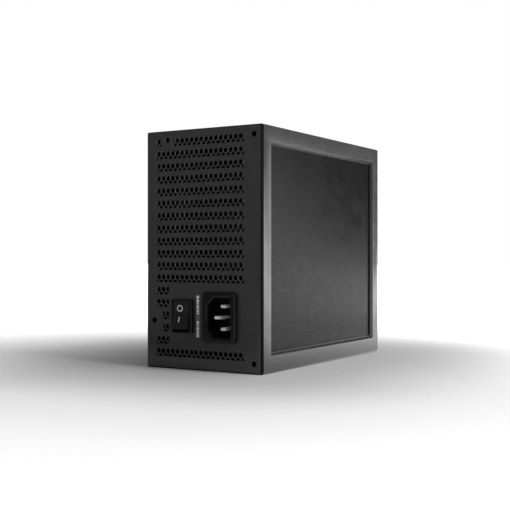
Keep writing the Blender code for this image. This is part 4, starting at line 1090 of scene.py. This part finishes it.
def flat_screw(number):
    """A flat-headed screw of the cover, with its thread."""
    node = f"cover_screw_{number}"
    x_span, y_span, (low_z, high_z) = spans_of(node)
    up = high_z > TOP_Z / 2
    head_r, core_r, pitch, groove = (x_span[1] - x_span[0]) / 2, 1.25 * MM, 0.35 * MM, 0.18 * MM
    place = placed((*middle_of(x_span, y_span), high_z if up else low_z), (0, 0, 1 if up else -1))
    head = [(0, 0), (0, head_r - 0.15 * MM), (-0.15 * MM, head_r), (-0.45 * MM, head_r)]
    head.append((-0.9 * MM, core_r))
    thread = [(-1.2 * MM - pitch * turn, core_r - groove * (turn % 2)) for turn in range(10)]
    end = low_z - high_z
    body = made(add_turned, [*head, *thread, (end, 0.9 * MM), (end, 0)], place, 40)
    body = cut(body, cross_recess(place, span=2.9 * MM, deep=0.75 * MM))
    piece(f"flat_screw_{number}", body, screw_oxide, [node], edge=0.05 * MM)


def pan_screw(number):
    """A pan-headed screw of the fan."""
    node = f"fan_screw_{number}"
    (low_x, high_x), y_span, z_span = spans_of(node)
    place = placed((high_x, *middle_of(y_span, z_span)), (-1, 0, 0))
    tall, head_r = high_x - low_x, (y_span[1] - y_span[0]) / 2
    head = [(4.3 * MM, 0.4 * head_r), (4.3 * MM, 0.97 * head_r), (4.9 * MM, head_r)]
    dome = [(tall - 0.25 * MM * k * k, head_r * (0.95 - 0.3 * (2 - k))) for k in (2, 1, 0)]
    body = made(add_turned, [(0, 0), (0, 1.6 * MM), *head, *dome, (tall, 0)], place, 40)
    top = place @ Matrix.Translation((0, 0, tall))
    body = cut(body, cross_recess(top, span=3.6 * MM, deep=0.9 * MM))
    piece(f"pan_screw_{number}", body, screw_oxide, [node], edge=0.05 * MM)


# ---- fan ----
def fan_blade_sections(number, root_x):
    """The closed airfoil sections of one twisted blade, from the hub out to the tip."""
    rows, columns = 14, 10
    sections = []
    for row in range(rows + 1):
        along = row / rows
        radius = BLADE_ROOT_R + along * (BLADE_TIP_R - BLADE_ROOT_R)
        pitch = BLADE_PITCH[0] + along * (BLADE_PITCH[1] - BLADE_PITCH[0])
        share = BLADE_SPREAD[0] + along * (BLADE_SPREAD[1] - BLADE_SPREAD[0])
        start = 2 * math.pi * number / BLADE_COUNT + BLADE_LEAN * along
        deep = min(HUB_DEPTH * 0.8, BLADE_CHORD * math.sin(pitch))
        upper, lower = [], []
        for column in range(columns + 1):
            across = column / columns - 0.5
            thick = BLADE_THICK * (0.25 + 0.75 * math.sqrt(max(0.0, 1 - (2 * across) ** 2)))
            camber = BLADE_CAMBER * (1 - (2 * across) ** 2)
            for side, points in ((0.5, upper), (-0.5, lower)):
                off = camber + side * thick
                sweep = across * BLADE_CHORD * share * math.cos(pitch) - off * math.sin(pitch)
                angle = start + sweep / radius
                y = FAN_MIDDLE[0] + radius * math.sin(angle)
                z = FAN_MIDDLE[1] + radius * math.cos(angle)
                points.append((root_x + across * deep + off * math.cos(pitch), y, z))
        sections.append(upper + lower[::-1])
    return sections


def fan_rotor():
    """The hub, a hollow cup with a rounded rim and a bearing boss, and its blades."""
    low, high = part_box("fan_rotor")
    deep, wall, boss, bearing = high.x - low.x, 2 * MM, 3.5 * MM, 1.8 * MM
    rim = ((0.35, 6), (0, 5.6), (0, 3), (0.35, 1.3), (1.3, 0.35), (3, 0))
    profile = [(deep - 0.35 * MM, 0)]
    profile += [(deep - down, HUB_R - inward) for down, inward in mm(*rim)]
    profile += [(0, HUB_R), (0, HUB_R - wall), (deep - wall, HUB_R - wall), (deep - wall, boss)]
    profile += [(deep - 3 * wall, boss), (deep - 3 * wall, bearing)]
    profile += [(deep - wall, bearing), (deep - wall, 0)]
    hub = made(add_turned, profile, towards_fan(low.x, *FAN_MIDDLE), 96)
    blades = bmesh.new()
    for number in range(BLADE_COUNT):
        add_sections(blades, fan_blade_sections(number, low.x + deep / 2 - BLADE_SETBACK))
    body = joined(hub, blades)
    piece("fan_wheel", body, fan_plastic, ["fan_rotor"], "rotor", sharp=40)


def fan_frame():
    """The square frame: flared bore, waisted sides with ribs, screw holes, struts and motor plate."""
    low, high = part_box("fan_frame")
    size, deep = high.y - low.y, high.x - low.x
    axis = towards_fan(low.x, *FAN_MIDDLE)
    square = rounded_outline(FAN_MIDDLE, (size, size), FRAME_CORNER)
    body = made(add_loft_y, (low.x, square), (high.x, square))
    swap_x_y(body)
    mouth = BORE_R + BORE_FLARE
    profile = [(-SHEET, 0), (-SHEET, mouth), (0, mouth), (BORE_LEAD, BORE_R)]
    profile += [(deep - BORE_LEAD, BORE_R), (deep, mouth), (deep + SHEET, mouth), (deep + SHEET, 0)]
    body = cut(body, made(add_turned, profile, axis, 128))
    waist_x = (low.x + WAIST_INSET, high.x - WAIST_INSET)
    waist = box_bm((waist_x, *[around(middle, 2 * size) for middle in FAN_MIDDLE]))
    waist = cut(waist, made(add_rod, BORE_R + BORE_WALL, X, (low.x, high.x), FAN_MIDDLE, 128))
    for side_y in (-1, 1):
        for side_z in (-1, 1):
            rib_y = around(FAN_MIDDLE[0] + side_y * RIB_PLACE[0], RIB_SIZE[0])
            rib_z = around(FAN_MIDDLE[1] + side_z * RIB_PLACE[1], RIB_SIZE[1])
            waist = cut(waist, box_bm((waist_x, rib_y, rib_z)))
    holes = bmesh.new()
    for number in range(1, 5):
        center = middle_of(*spans_of(f"fan_screw_{number}")[1:])
        add_rod(holes, FRAME_HOLE_R, X, (low.x - SHEET, high.x + SHEET), center, 24)
        add_rod(holes, NUT_SPACE_R, X, waist_x, center, 24)
    body = cut(body, waist, holes)
    strut_x = (low.x + 0.5 * MM, low.x + 2.5 * MM)
    for turn in range(4):
        strut = box_bm((strut_x, around(0, STRUT_WIDE), (HUB_R - 2 * MM, BORE_R + 1 * MM)))
        for vert in strut.verts:
            if vert.co.z < BORE_R / 2:
                vert.co.y += STRUT_SLANT
            elif vert.co.x > low.x + MM:
                vert.co.y *= STRUT_TAPER
        quarter = Matrix.Rotation(turn * math.pi / 2, 4, "X")
        strut.transform(Matrix.Translation((0, *FAN_MIDDLE)) @ quarter)
        body = joined(body, strut)
    plate_r = HUB_R + 1 * MM
    plate = [(0.2 * MM, 0), (0.2 * MM, HUB_R + 0.4 * MM), (0.6 * MM, plate_r)]
    plate += [(2.8 * MM, plate_r), (2.8 * MM, 0)]
    body = joined(body, made(add_turned, plate, axis))
    piece("fan_housing", body, fan_plastic, ["fan_frame"], edge=0.15 * MM)


# ---- parts on the main board ----
def wound_choke(node, axis, wire_r, runs):
    """A coated ring core with an enamelled wire wound round it in one or two runs.

    A run is (start, end, turns), with its start and end in degrees round the ring.
    """
    low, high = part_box(node)
    size = high - low
    minor = min(size) / 2
    major = max(size) / 2 - minor
    half = minor - 2 * wire_r
    place = placed((low + high) / 2, axis)
    steps, sides, wire_steps, squareness = 72, 20, 24, 0.45

    def soft(value):
        return math.copysign(abs(value) ** squareness, value)

    def ring_point(angle, lean, grow):
        """A point round the ring and round its section, which is a square with soft corners."""
        radius = major + grow * soft(math.cos(lean))
        height = grow * soft(math.sin(lean))
        return place @ Vector((radius * math.cos(angle), radius * math.sin(angle), height))

    leans = [2 * math.pi * side / sides for side in range(sides)]
    angles = [2 * math.pi * k / steps for k in range(steps)]
    sections = [[ring_point(angle, lean, half) for lean in leans] for angle in angles]
    core = made(add_sections, sections, closed=True)
    piece(node + "_core", core, core_paint, [node])
    coil = bmesh.new()
    for start, end, turns in runs:
        count = turns * wire_steps
        angles = [math.radians(start + (end - start) * k / count) for k in range(count + 1)]
        leans = [2 * math.pi * k / wire_steps for k in range(count + 1)]
        points = [ring_point(angle, lean, half + wire_r) for angle, lean in zip(angles, leans)]
        add_tube(coil, points, wire_r, 6)
    piece(node + "_coil", coil, enamel, sharp=60)


def capacitor(node):
    """A sleeved can with its crimp groove and a bare top that is scored for venting."""
    x_span, y_span, z_span = spans_of(node)
    radius, tall = (z_span[1] - z_span[0]) / 2, x_span[1] - x_span[0]
    groove, crimp = 0.07 * radius, 0.09 * tall
    place = towards_fan(x_span[0], *middle_of(y_span, z_span))
    lip = min(0.14 * radius, 1.4 * MM)
    foot = ((0, 1), (1, 0))
    ring = ((0, 0), (0.6, 1), (1.4, 1), (2, 0))
    crown = ((0.6, 0), (0.15, 0.25), (0, 0.7), (0.1, 1.3), (0.5, 1.5))
    profile = [(0, 0)]
    profile += [(up * groove, radius - inward * groove) for up, inward in foot]
    profile += [(crimp + up * groove, radius - inward * groove) for up, inward in ring]
    profile += [(tall - down * lip, radius - inward * lip) for down, inward in crown]
    sleeve = made(add_turned, profile + [(tall - 0.5 * lip, 0)], place, 72)
    piece(node + "_sleeve", sleeve, shrink_sleeve, [node], sharp=50)
    top_r = radius - 1.55 * lip
    bare = ((0.6, 0, 0), (0.6, 1, 0), (0.25, 1, 0.1), (0.2, 0, 0))
    bare = [(tall - down * lip, full * top_r - inward * lip) for down, full, inward in bare]
    top = made(add_turned, bare, place, 72)
    score = (around(0, 1.5 * top_r), around(0, 0.35 * MM), around(tall - 0.2 * lip, 0.24 * MM))
    for turn in (0, math.pi / 2):
        cutter = box_bm(score)
        cutter.transform(place @ Matrix.Rotation(turn, 4, "Z"))
        top = cut(top, cutter)
    piece(node + "_top", top, bare_aluminium)


def transformer(node):
    """Two ferrite halves round a bobbin with taped windings and a row of pins on each side."""
    low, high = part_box(node)
    middle, size = (low + high) / 2, high - low
    whole_x, whole_y = around(middle.x, size.x), around(middle.y, size.y)
    core_tall = size.z / 1.25
    core_z = around(middle.z, core_tall)
    core = rounded_box(((low.x, high.x), (low.y, high.y), core_z), 0.6 * MM)
    joint_x, joint_z = (low.x - SHEET, high.x + SHEET), around(middle.z, core_tall + 2 * SHEET)
    joint = box_bm((joint_x, around(middle.y, 0.25 * MM), joint_z))
    inside = box_bm(((low.x + 0.4 * size.x, low.x + 0.6 * size.x), whole_y, core_z))
    core = cut(core, cut(joint, inside))
    piece(node + "_core", core, ferrite, [node], edge=0.12 * MM)
    winding_x = (low.x + 0.22 * size.x, low.x + 0.78 * size.x)
    winding_y = around(middle.y, 0.66 * size.y)
    winding = rounded_box((winding_x, winding_y, (low.z, high.z)), 0.13 * size.z, 6)
    winding = cut(winding, box_bm((whole_x, whole_y, around(middle.z, core_tall - SHEET))))
    piece(node + "_winding", winding, tape, edge=0.1 * MM)
    flanges, pins = [], bmesh.new()
    for side in (-1, 1):
        flange_y = around(middle.y + side * 0.345 * size.y, 1.0 * MM)
        flange = rounded_box((around(middle.x, 0.6 * size.x), flange_y, (low.z, high.z)), 0.3 * MM, 2)
        flanges.append(cut(flange, box_bm((whole_x, whole_y, core_z))))
        pin_z = middle.z + side * (core_tall + size.z) / 4
        for number in range(4):
            pin_y = middle.y + (number - 1.5) * 0.17 * size.y
            add_rod(pins, 0.4 * MM, X, (low.x, winding_x[0] + 0.4 * MM), (pin_y, pin_z), 12)
    piece(node + "_bobbin", grouped(flanges), socket_plastic)
    piece(node + "_pins", pins, nickel)


def power_device(middle_y, plate_z, low_x):
    """A flat three-legged power device screwed to a heatsink; returns its case and its metal bodies."""
    back = plate_z - 0.05 * MM
    case_x, tab_x, leg_x = [[low_x + x for x in span] for span in mm((0, 9), (8.6, 15), (-8.2, 0.4))]
    case = rounded_box((case_x, around(middle_y, 10 * MM), (back - 4.4 * MM, back)), 0.35 * MM, 2)
    tab = box_bm((tab_x, around(middle_y, 9.9 * MM), (back - 1.2 * MM, back)))
    hole = (low_x + 12.4 * MM, middle_y)
    tab = cut(tab, made(add_rod, 1.8 * MM, Z, (back - 5 * MM, back + SHEET), hole, 24))
    leg_z = around(back - 2.6 * MM, 0.5 * MM)
    leg_places = [middle_y + step * 2.54 * MM for step in (-1, 0, 1)]
    legs = [box_bm((leg_x, around(y, 0.8 * MM), leg_z)) for y in leg_places]
    return case, [tab, *legs]


def power_devices():
    rows = (("primary", mm(-38, -20, -2, 16)), ("secondary", mm(8, 22)))
    for name, places in rows:
        low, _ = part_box(name + "_heatsink")
        cases, metals = [], []
        for y in places:
            case, metal = power_device(y, low.z, low.x + 9 * MM)
            cases.append(case)
            metals += metal
        piece(name + "_devices", grouped(cases), epoxy, edge=0.05 * MM)
        piece(name + "_devices_metal", grouped(metals), nickel)


def film_capacitor():
    """A potted box with a shallow panel pressed into its face."""
    spans = spans_of("x_capacitor")
    middle_y, middle_z = middle_of(*spans[1:])
    face_x = (spans[0][1] - 0.3 * MM, spans[0][1] + SHEET)
    face = box_bm((face_x, around(middle_y, 10 * MM), around(middle_z, 25 * MM)))
    body = cut(rounded_box(spans, 1.0 * MM, 4), face)
    piece("film_capacitor", body, yellow_case, ["x_capacitor"], edge=0.1 * MM)


def rectifier():
    """A flat bridge rectifier with a screw hole and four legs."""
    low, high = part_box("bridge_rectifier")
    middle = (low + high) / 2
    body = rounded_box(((low.x + 4 * MM, high.x), (low.y, high.y), (low.z, high.z)), 0.4 * MM, 2)
    hole_y = grown((low.y, high.y), SHEET)
    body = cut(body, made(add_rod, 1.7 * MM, Y, hole_y, (high.x - 6 * MM, middle.z), 24))
    piece("rectifier_case", body, epoxy, ["bridge_rectifier"], edge=0.08 * MM)
    leg_x, leg_y = (low.x, low.x + 4.4 * MM), around(middle.y, 0.8 * MM)
    places = [middle.z + step * 7.5 * MM for step in (-1.35, -0.45, 0.45, 1.35)]
    legs = box_bm(*[(leg_x, leg_y, around(z, 1.1 * MM)) for z in places])
    piece("rectifier_legs", legs, nickel)


def small_parts():
    """Small parts that fill the main board: cans, chips with their legs, and disc capacitors."""
    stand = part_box("main_board")[1].x + 0.3 * MM
    cans, tops = bmesh.new(), bmesh.new()
    for y, z, radius, tall in SMALL_CANS:
        place = towards_fan(stand, y, z)
        foot = [(0, 0), (0, radius), (0.8 * MM, radius), (1.1 * MM, 0.92 * radius), (1.5 * MM, radius)]
        rim = [(tall - 0.3 * MM, radius), (tall, 0.85 * radius), (tall - 0.2 * MM, 0.8 * radius)]
        add_turned(cans, [*foot, *rim, (tall - 0.2 * MM, 0)], place, 32)
        low, high = tall - 0.3 * MM, tall - 0.12 * MM
        add_turned(tops, [(low, 0), (low, 0.8 * radius), (high, 0.78 * radius), (high, 0)], place, 32)
    piece("small_cans", cans, shrink_sleeve, sharp=50)
    piece("small_can_tops", tops, bare_aluminium)
    chips, legs = [], []
    for y, z, long, wide in CHIPS:
        spans = ((stand, stand + 1.5 * MM), around(y, long), around(z, wide))
        chips.append(rounded_box(spans, 0.2 * MM, 2))
        for number in range(4):
            leg_y = around(y + (number - 1.5) * long / 4.2, 0.4 * MM)
            legs.append(((stand, stand + 0.35 * MM), leg_y, around(z, wide + 1.8 * MM)))
    piece("chips", grouped(chips), epoxy)
    piece("chip_legs", box_bm(*legs), nickel)
    lens = mm((-1.6, 0), (-1.5, 3), (-0.8, 4.3), (0, 4.6), (0.8, 4.3), (1.5, 3), (1.6, 0))
    discs = bmesh.new()
    for y, z in DISCS:
        add_turned(discs, lens, placed((stand + 6.2 * MM, y, z), (0, 1, 0)), 40)
    piece("disc_capacitors", discs, disc_coating)


# ---- rating label ----
def rating_label():
    """A blank generic label on the side opposite the fan: a frame, ruled rows and plain blocks."""
    film_x = (BACK_X - 0.08 * MM, BACK_X + 0.02 * MM)
    outline = rounded_outline(middle_of(LABEL_Y, LABEL_Z), size_of(LABEL_Y, LABEL_Z), 2 * MM)
    film = made(add_loft_y, *[(x, outline) for x in film_x])
    swap_x_y(film)
    piece("rating_label", film, label_film)
    low_y, high_y = grown(LABEL_Y, -4 * MM)
    base_z = LABEL_Z[0]
    line = 0.35 * MM
    rows = 6
    table_z = (base_z + 30 * MM, LABEL_Z[1] - 18 * MM)
    blocks = []
    for row in range(rows + 1):
        z = table_z[0] + row * (table_z[1] - table_z[0]) / rows
        blocks.append(((low_y, high_y), around(z, line)))
    for column in (0, 0.28, 0.46, 0.64, 0.82, 1):
        y = low_y + column * (high_y - low_y)
        blocks.append((around(y, line), grown(table_z, -line)))
    blocks.append(((high_y - 40 * MM, high_y), around(LABEL_Z[1] - 9 * MM, 5 * MM)))
    for number in range(4):
        z = base_z + (6 + 5 * number) * MM
        blocks.append(((high_y - (58 - 7 * number) * MM, high_y), around(z, 1.4 * MM)))
    box_z, half, stroke = base_z + 12 * MM, 4.2 * MM, 0.6 * MM
    for number in range(3):
        y = low_y + (6 + 12 * number) * MM
        blocks += [(around(y, 9 * MM), around(box_z + side * half, stroke)) for side in (-1, 1)]
        blocks += [(around(y + side * half, stroke), around(box_z, 7.8 * MM)) for side in (-1, 1)]
    ink_x = (BACK_X - 0.12 * MM, BACK_X - 0.07 * MM)
    ink = box_bm(*[(ink_x, *block) for block in blocks])
    piece("rating_label_print", ink, label_ink)


# ---- finishes, and the CAD nodes that stay ----
case_coat = powder_coat("case_coat", (0.037, 0.037, 0.0375), 0.18)
# near-black coat, painted shade for the case's seams, cut edges and inside
painted_shade_coat = moulded("painted_shade_coat", (0.003, 0.003, 0.0032), 0.6, specular=0.1)
# lighter coat, a painted highlight on the vent cells' walls
painted_highlight_coat = powder_coat("painted_highlight_coat", (0.13, 0.13, 0.131), 0.3)
mesh_coat = powder_coat("mesh_coat", (0.005, 0.005, 0.0052), 0.19, 0.15)
black_plastic = moulded("black_plastic", (0.003, 0.003, 0.0032), 0.34, specular=0.35)
rocker_plastic = moulded("rocker_plastic", (0.009, 0.009, 0.0095), 0.36)
nickel = plated("nickel", (0.78, 0.77, 0.74), 0.22)
# near-white: the pins' tin, with their bright reflection painted into the colour
pin_tin_and_painted_highlight = plated("pin_tin_and_painted_highlight", (1.0, 0.99, 0.97), 0.40, 0.2)
mark_paint = printed("mark_paint", (0.95, 0.95, 0.95), 0.5)
strip_film = printed("strip_film", (0.14, 0.14, 0.143), 0.45)
print_white = printed("print_white", (0.95, 0.95, 0.95), 0.5)
socket_plastic = moulded("socket_plastic", (0.010, 0.010, 0.0105), 0.42)
fan_plastic = moulded("fan_plastic", (0.006, 0.006, 0.0065), 0.6, specular=0.15)
screw_oxide = plated("screw_oxide", (0.05, 0.05, 0.052), 0.38)
solder_mask = circuit_board("solder_mask", (0.003, 0.010, 0.005), (0.010, 0.024, 0.012))
fibre_sheet = moulded("fibre_sheet", (0.008, 0.008, 0.008), 0.7, 0.02 * MM, 0.2)
enamel = glossy_cover("enamel", (0.50, 0.17, 0.06), 0.25, 2 * MM)
ferrite = speckled("ferrite", (0.014, 0.014, 0.015), 0.7, 0.6 * MM, 0.03 * MM)
core_paint = speckled("core_paint", (0.02, 0.06, 0.04), 0.5, 0.8 * MM, 0.02 * MM)
epoxy = speckled("epoxy", (0.018, 0.018, 0.019), 0.5, 0.3 * MM, 0.01 * MM)
shrink_sleeve = glossy_cover("shrink_sleeve", (0.006, 0.008, 0.015), 0.42)
bare_aluminium = plated("bare_aluminium", (0.28, 0.28, 0.28), 0.4)
anodised = speckled("anodised", (0.012, 0.012, 0.0125), 0.5, 0.25 * MM, 0.006 * MM)
tape = glossy_cover("tape", (0.30, 0.20, 0.03), 0.4, 3 * MM)
yellow_case = glossy_cover("yellow_case", (0.22, 0.15, 0.02), 0.45)
disc_coating = glossy_cover("disc_coating", (0.006, 0.012, 0.026), 0.5)
brass = plated("brass", (0.65, 0.45, 0.18), 0.3)
label_film = printed("label_film", (0.03, 0.03, 0.031), 0.4)
label_ink = printed("label_ink", (0.45, 0.45, 0.45), 0.5)
SLOT_FINISHES = {
    "black_plastic": black_plastic,
    "nickel": nickel,
    "board": solder_mask,
    "insulator": fibre_sheet,
    "copper": enamel,
    "ferrite": ferrite,
    "aluminium": anodised,
    "magnet": ferrite,
    "brass": brass,
    "wire_brown": rubber("wire_brown", (0.12, 0.05, 0.02)),
    "wire_blue": rubber("wire_blue", (0.02, 0.06, 0.25)),
    "wire_green": rubber("wire_green", (0.05, 0.20, 0.05)),
    "wire_black": rubber("wire_black", (0.015, 0.015, 0.015)),
}


def finish_kept_nodes():
    """Gives every CAD node that still shows the procedural finish of its material slot."""
    for row in frame["record"]["subparts"]:
        node = frame["nodes"][row["node"]]
        if not node.hide_render:
            node.data.materials.clear()
            node.data.materials.append(SLOT_FINISHES[row["material_slot"]])


# ---- the studio: pale floor, soft light and the camera ----
def ray_is(tree, kind):
    """1 for a ray of this kind, 0 for any other."""
    return Value(tree.nodes.new("ShaderNodeLightPath").outputs[f"Is {kind} Ray"])


def surroundings():
    """A white backdrop: bright low down behind the unit on the right, dim in front, soft above."""
    world = bpy.data.worlds.new("studio")
    bpy.context.scene.world = world
    world.use_nodes = True
    tree = world.node_tree
    x, y, z = Value(tree.nodes.new("ShaderNodeTexCoord").outputs["Generated"]).parts()
    behind = y.ramp(0.2, 0.7, 0.0, BACKDROP) * x.ramp(-0.1, 0.35) * y.ramp(0.85, 0.91, 0.7, 1.2)
    # the glow's upper edge is near the horizon and slopes a little
    slope = ((y - 0.885) * 3.2).math("MAXIMUM", -0.12).math("MINIMUM", 0.035)
    glow = behind * (z + slope).ramp(-0.005, 0.04, 1.0, 0.0)
    sky = z.ramp(0.25, 0.5, 0.0, OVERHEAD) * (x + y * 0.5).ramp(-0.6, 0.9)
    sky = sky * ray_is(tree, "Glossy").choose(1.0, 0.1)
    shown = ray_is(tree, "Camera").choose(glow + sky + DIM, 1.0)
    feed(tree.nodes["Background"].inputs["Color"], shown)


def floor_surface():
    """A pale matt floor that whitens into the backdrop, with a painted shadow that darkens it near the unit; at
    the front left it is painted dark where it shows in reflections.
    """
    paint = Surface("floor_paint", (FLOOR_TONE,) * 3, 0.6)
    x, y, _ = Value(paint.position).parts()
    in_gloss = ray_is(paint.tree, "Glossy")
    away = x + y
    deep = y * 0.857 - x * 0.515
    over_x, over_y = [
        (side.math("ABSOLUTE") - half).math("MAXIMUM") for side, half in ((x, FAN_X), (y, FRONT_Y))
    ]
    apart = (over_x * over_x + over_y * over_y).math("SQRT")  # from the unit's footprint
    # painted shadow: the floor's colour darkens towards the unit's footprint
    tone = apart.ramp(0.02, 0.15, FLOOR_PAINTED_SHADE, FLOOR_TONE)
    # painted dark reflection: the floor at the front left turns dark where glossy rays see it
    dark_in_reflection = away.ramp(-0.15, -0.28) * in_gloss
    feed(paint.shader.inputs["Base Color"], dark_in_reflection.choose(tone, FLOOR_DARK_IN_REFLECTION))
    glow = deep.ramp(0.05, 0.6) + away.ramp(0.1, 0.9, 0.0, FLOOR_GLOW)
    glow = (glow + apart.ramp(0.08, 0.3, 0.0, FLOOR_HALO)) * in_gloss.choose(1.0, 0.8)
    mirrored = away.ramp(-0.12, 0.3, 0.0, FLOOR_MIRRORED) * away.ramp(0.25, 0.5, 1.0, 0.0) * in_gloss
    distant = apart.ramp(0.6, 2.0) * in_gloss.choose(1.0, 0.0)
    paint.shader.inputs["Emission Color"].default_value = (1, 1, 1, 1)
    feed(paint.shader.inputs["Emission Strength"], glow + mirrored + distant)
    return paint.material


def linked(name, data):
    obj = bpy.data.objects.new(name, data)
    bpy.context.scene.collection.objects.link(obj)
    return obj


def studio():
    floor_bm = bmesh.new()
    bmesh.ops.create_grid(floor_bm, x_segments=1, y_segments=1, size=FLOOR_HALF)
    floor = scratch_object(floor_bm)
    floor.name = "floor"
    floor.location.z = -FLOOR_DROP
    floor.data.materials.append(floor_surface())
    surroundings()

    lamp = bpy.data.lights.new("softbox", "AREA")
    lamp.shape = "RECTANGLE"
    lamp.size, lamp.size_y = SOFTBOX_SIZE
    lamp.energy = SOFTBOX_POWER
    softbox = linked("softbox", lamp)
    softbox.location = SOFTBOX_PLACE
    aim = Vector(SOFTBOX_TARGET) - Vector(SOFTBOX_PLACE)
    softbox.rotation_euler = aim.to_track_quat("-Z", "Y").to_euler()
    softbox.visible_camera = False

    lens = bpy.data.cameras.new("camera")
    lens.lens = CAMERA_LENS
    lens.sensor_width = SENSOR_WIDTH
    lens.shift_y = CAMERA_SHIFT
    camera = linked("camera", lens)
    camera.location = CAMERA_PLACE
    camera.rotation_euler = (math.radians(90), 0, CAMERA_TURN)
    bpy.context.scene.camera = camera
    bpy.context.scene.view_settings.view_transform = "Standard"


# ---- the whole unit, part by part ----
tray_sheet()
cover_sheet()
fan_mesh()
inlet_housing()
inlet_pins()
switch_housing()
switch_rocker()
rocker_marks()
rear_strip()
for socket_name in SOCKET_NAMES:
    output_socket(socket_name)
for screw_number in range(1, 5):
    flat_screw(screw_number)
    pan_screw(screw_number)
fan_rotor()
fan_frame()
wound_choke("emi_choke", (0, 1, 0), 0.65 * MM, ((15, 165, 9), (195, 345, 9)))
wound_choke("pfc_choke", (1, 0, 0), 0.6 * MM, ((8, 352, 32),))
for can_name in ("bulk_capacitor", "output_capacitor_1", "output_capacitor_2", "output_capacitor_3"):
    capacitor(can_name)
transformer("main_transformer")
transformer("standby_transformer")
power_devices()
film_capacitor()
rectifier()
small_parts()
rating_label()
finish_kept_nodes()
studio()
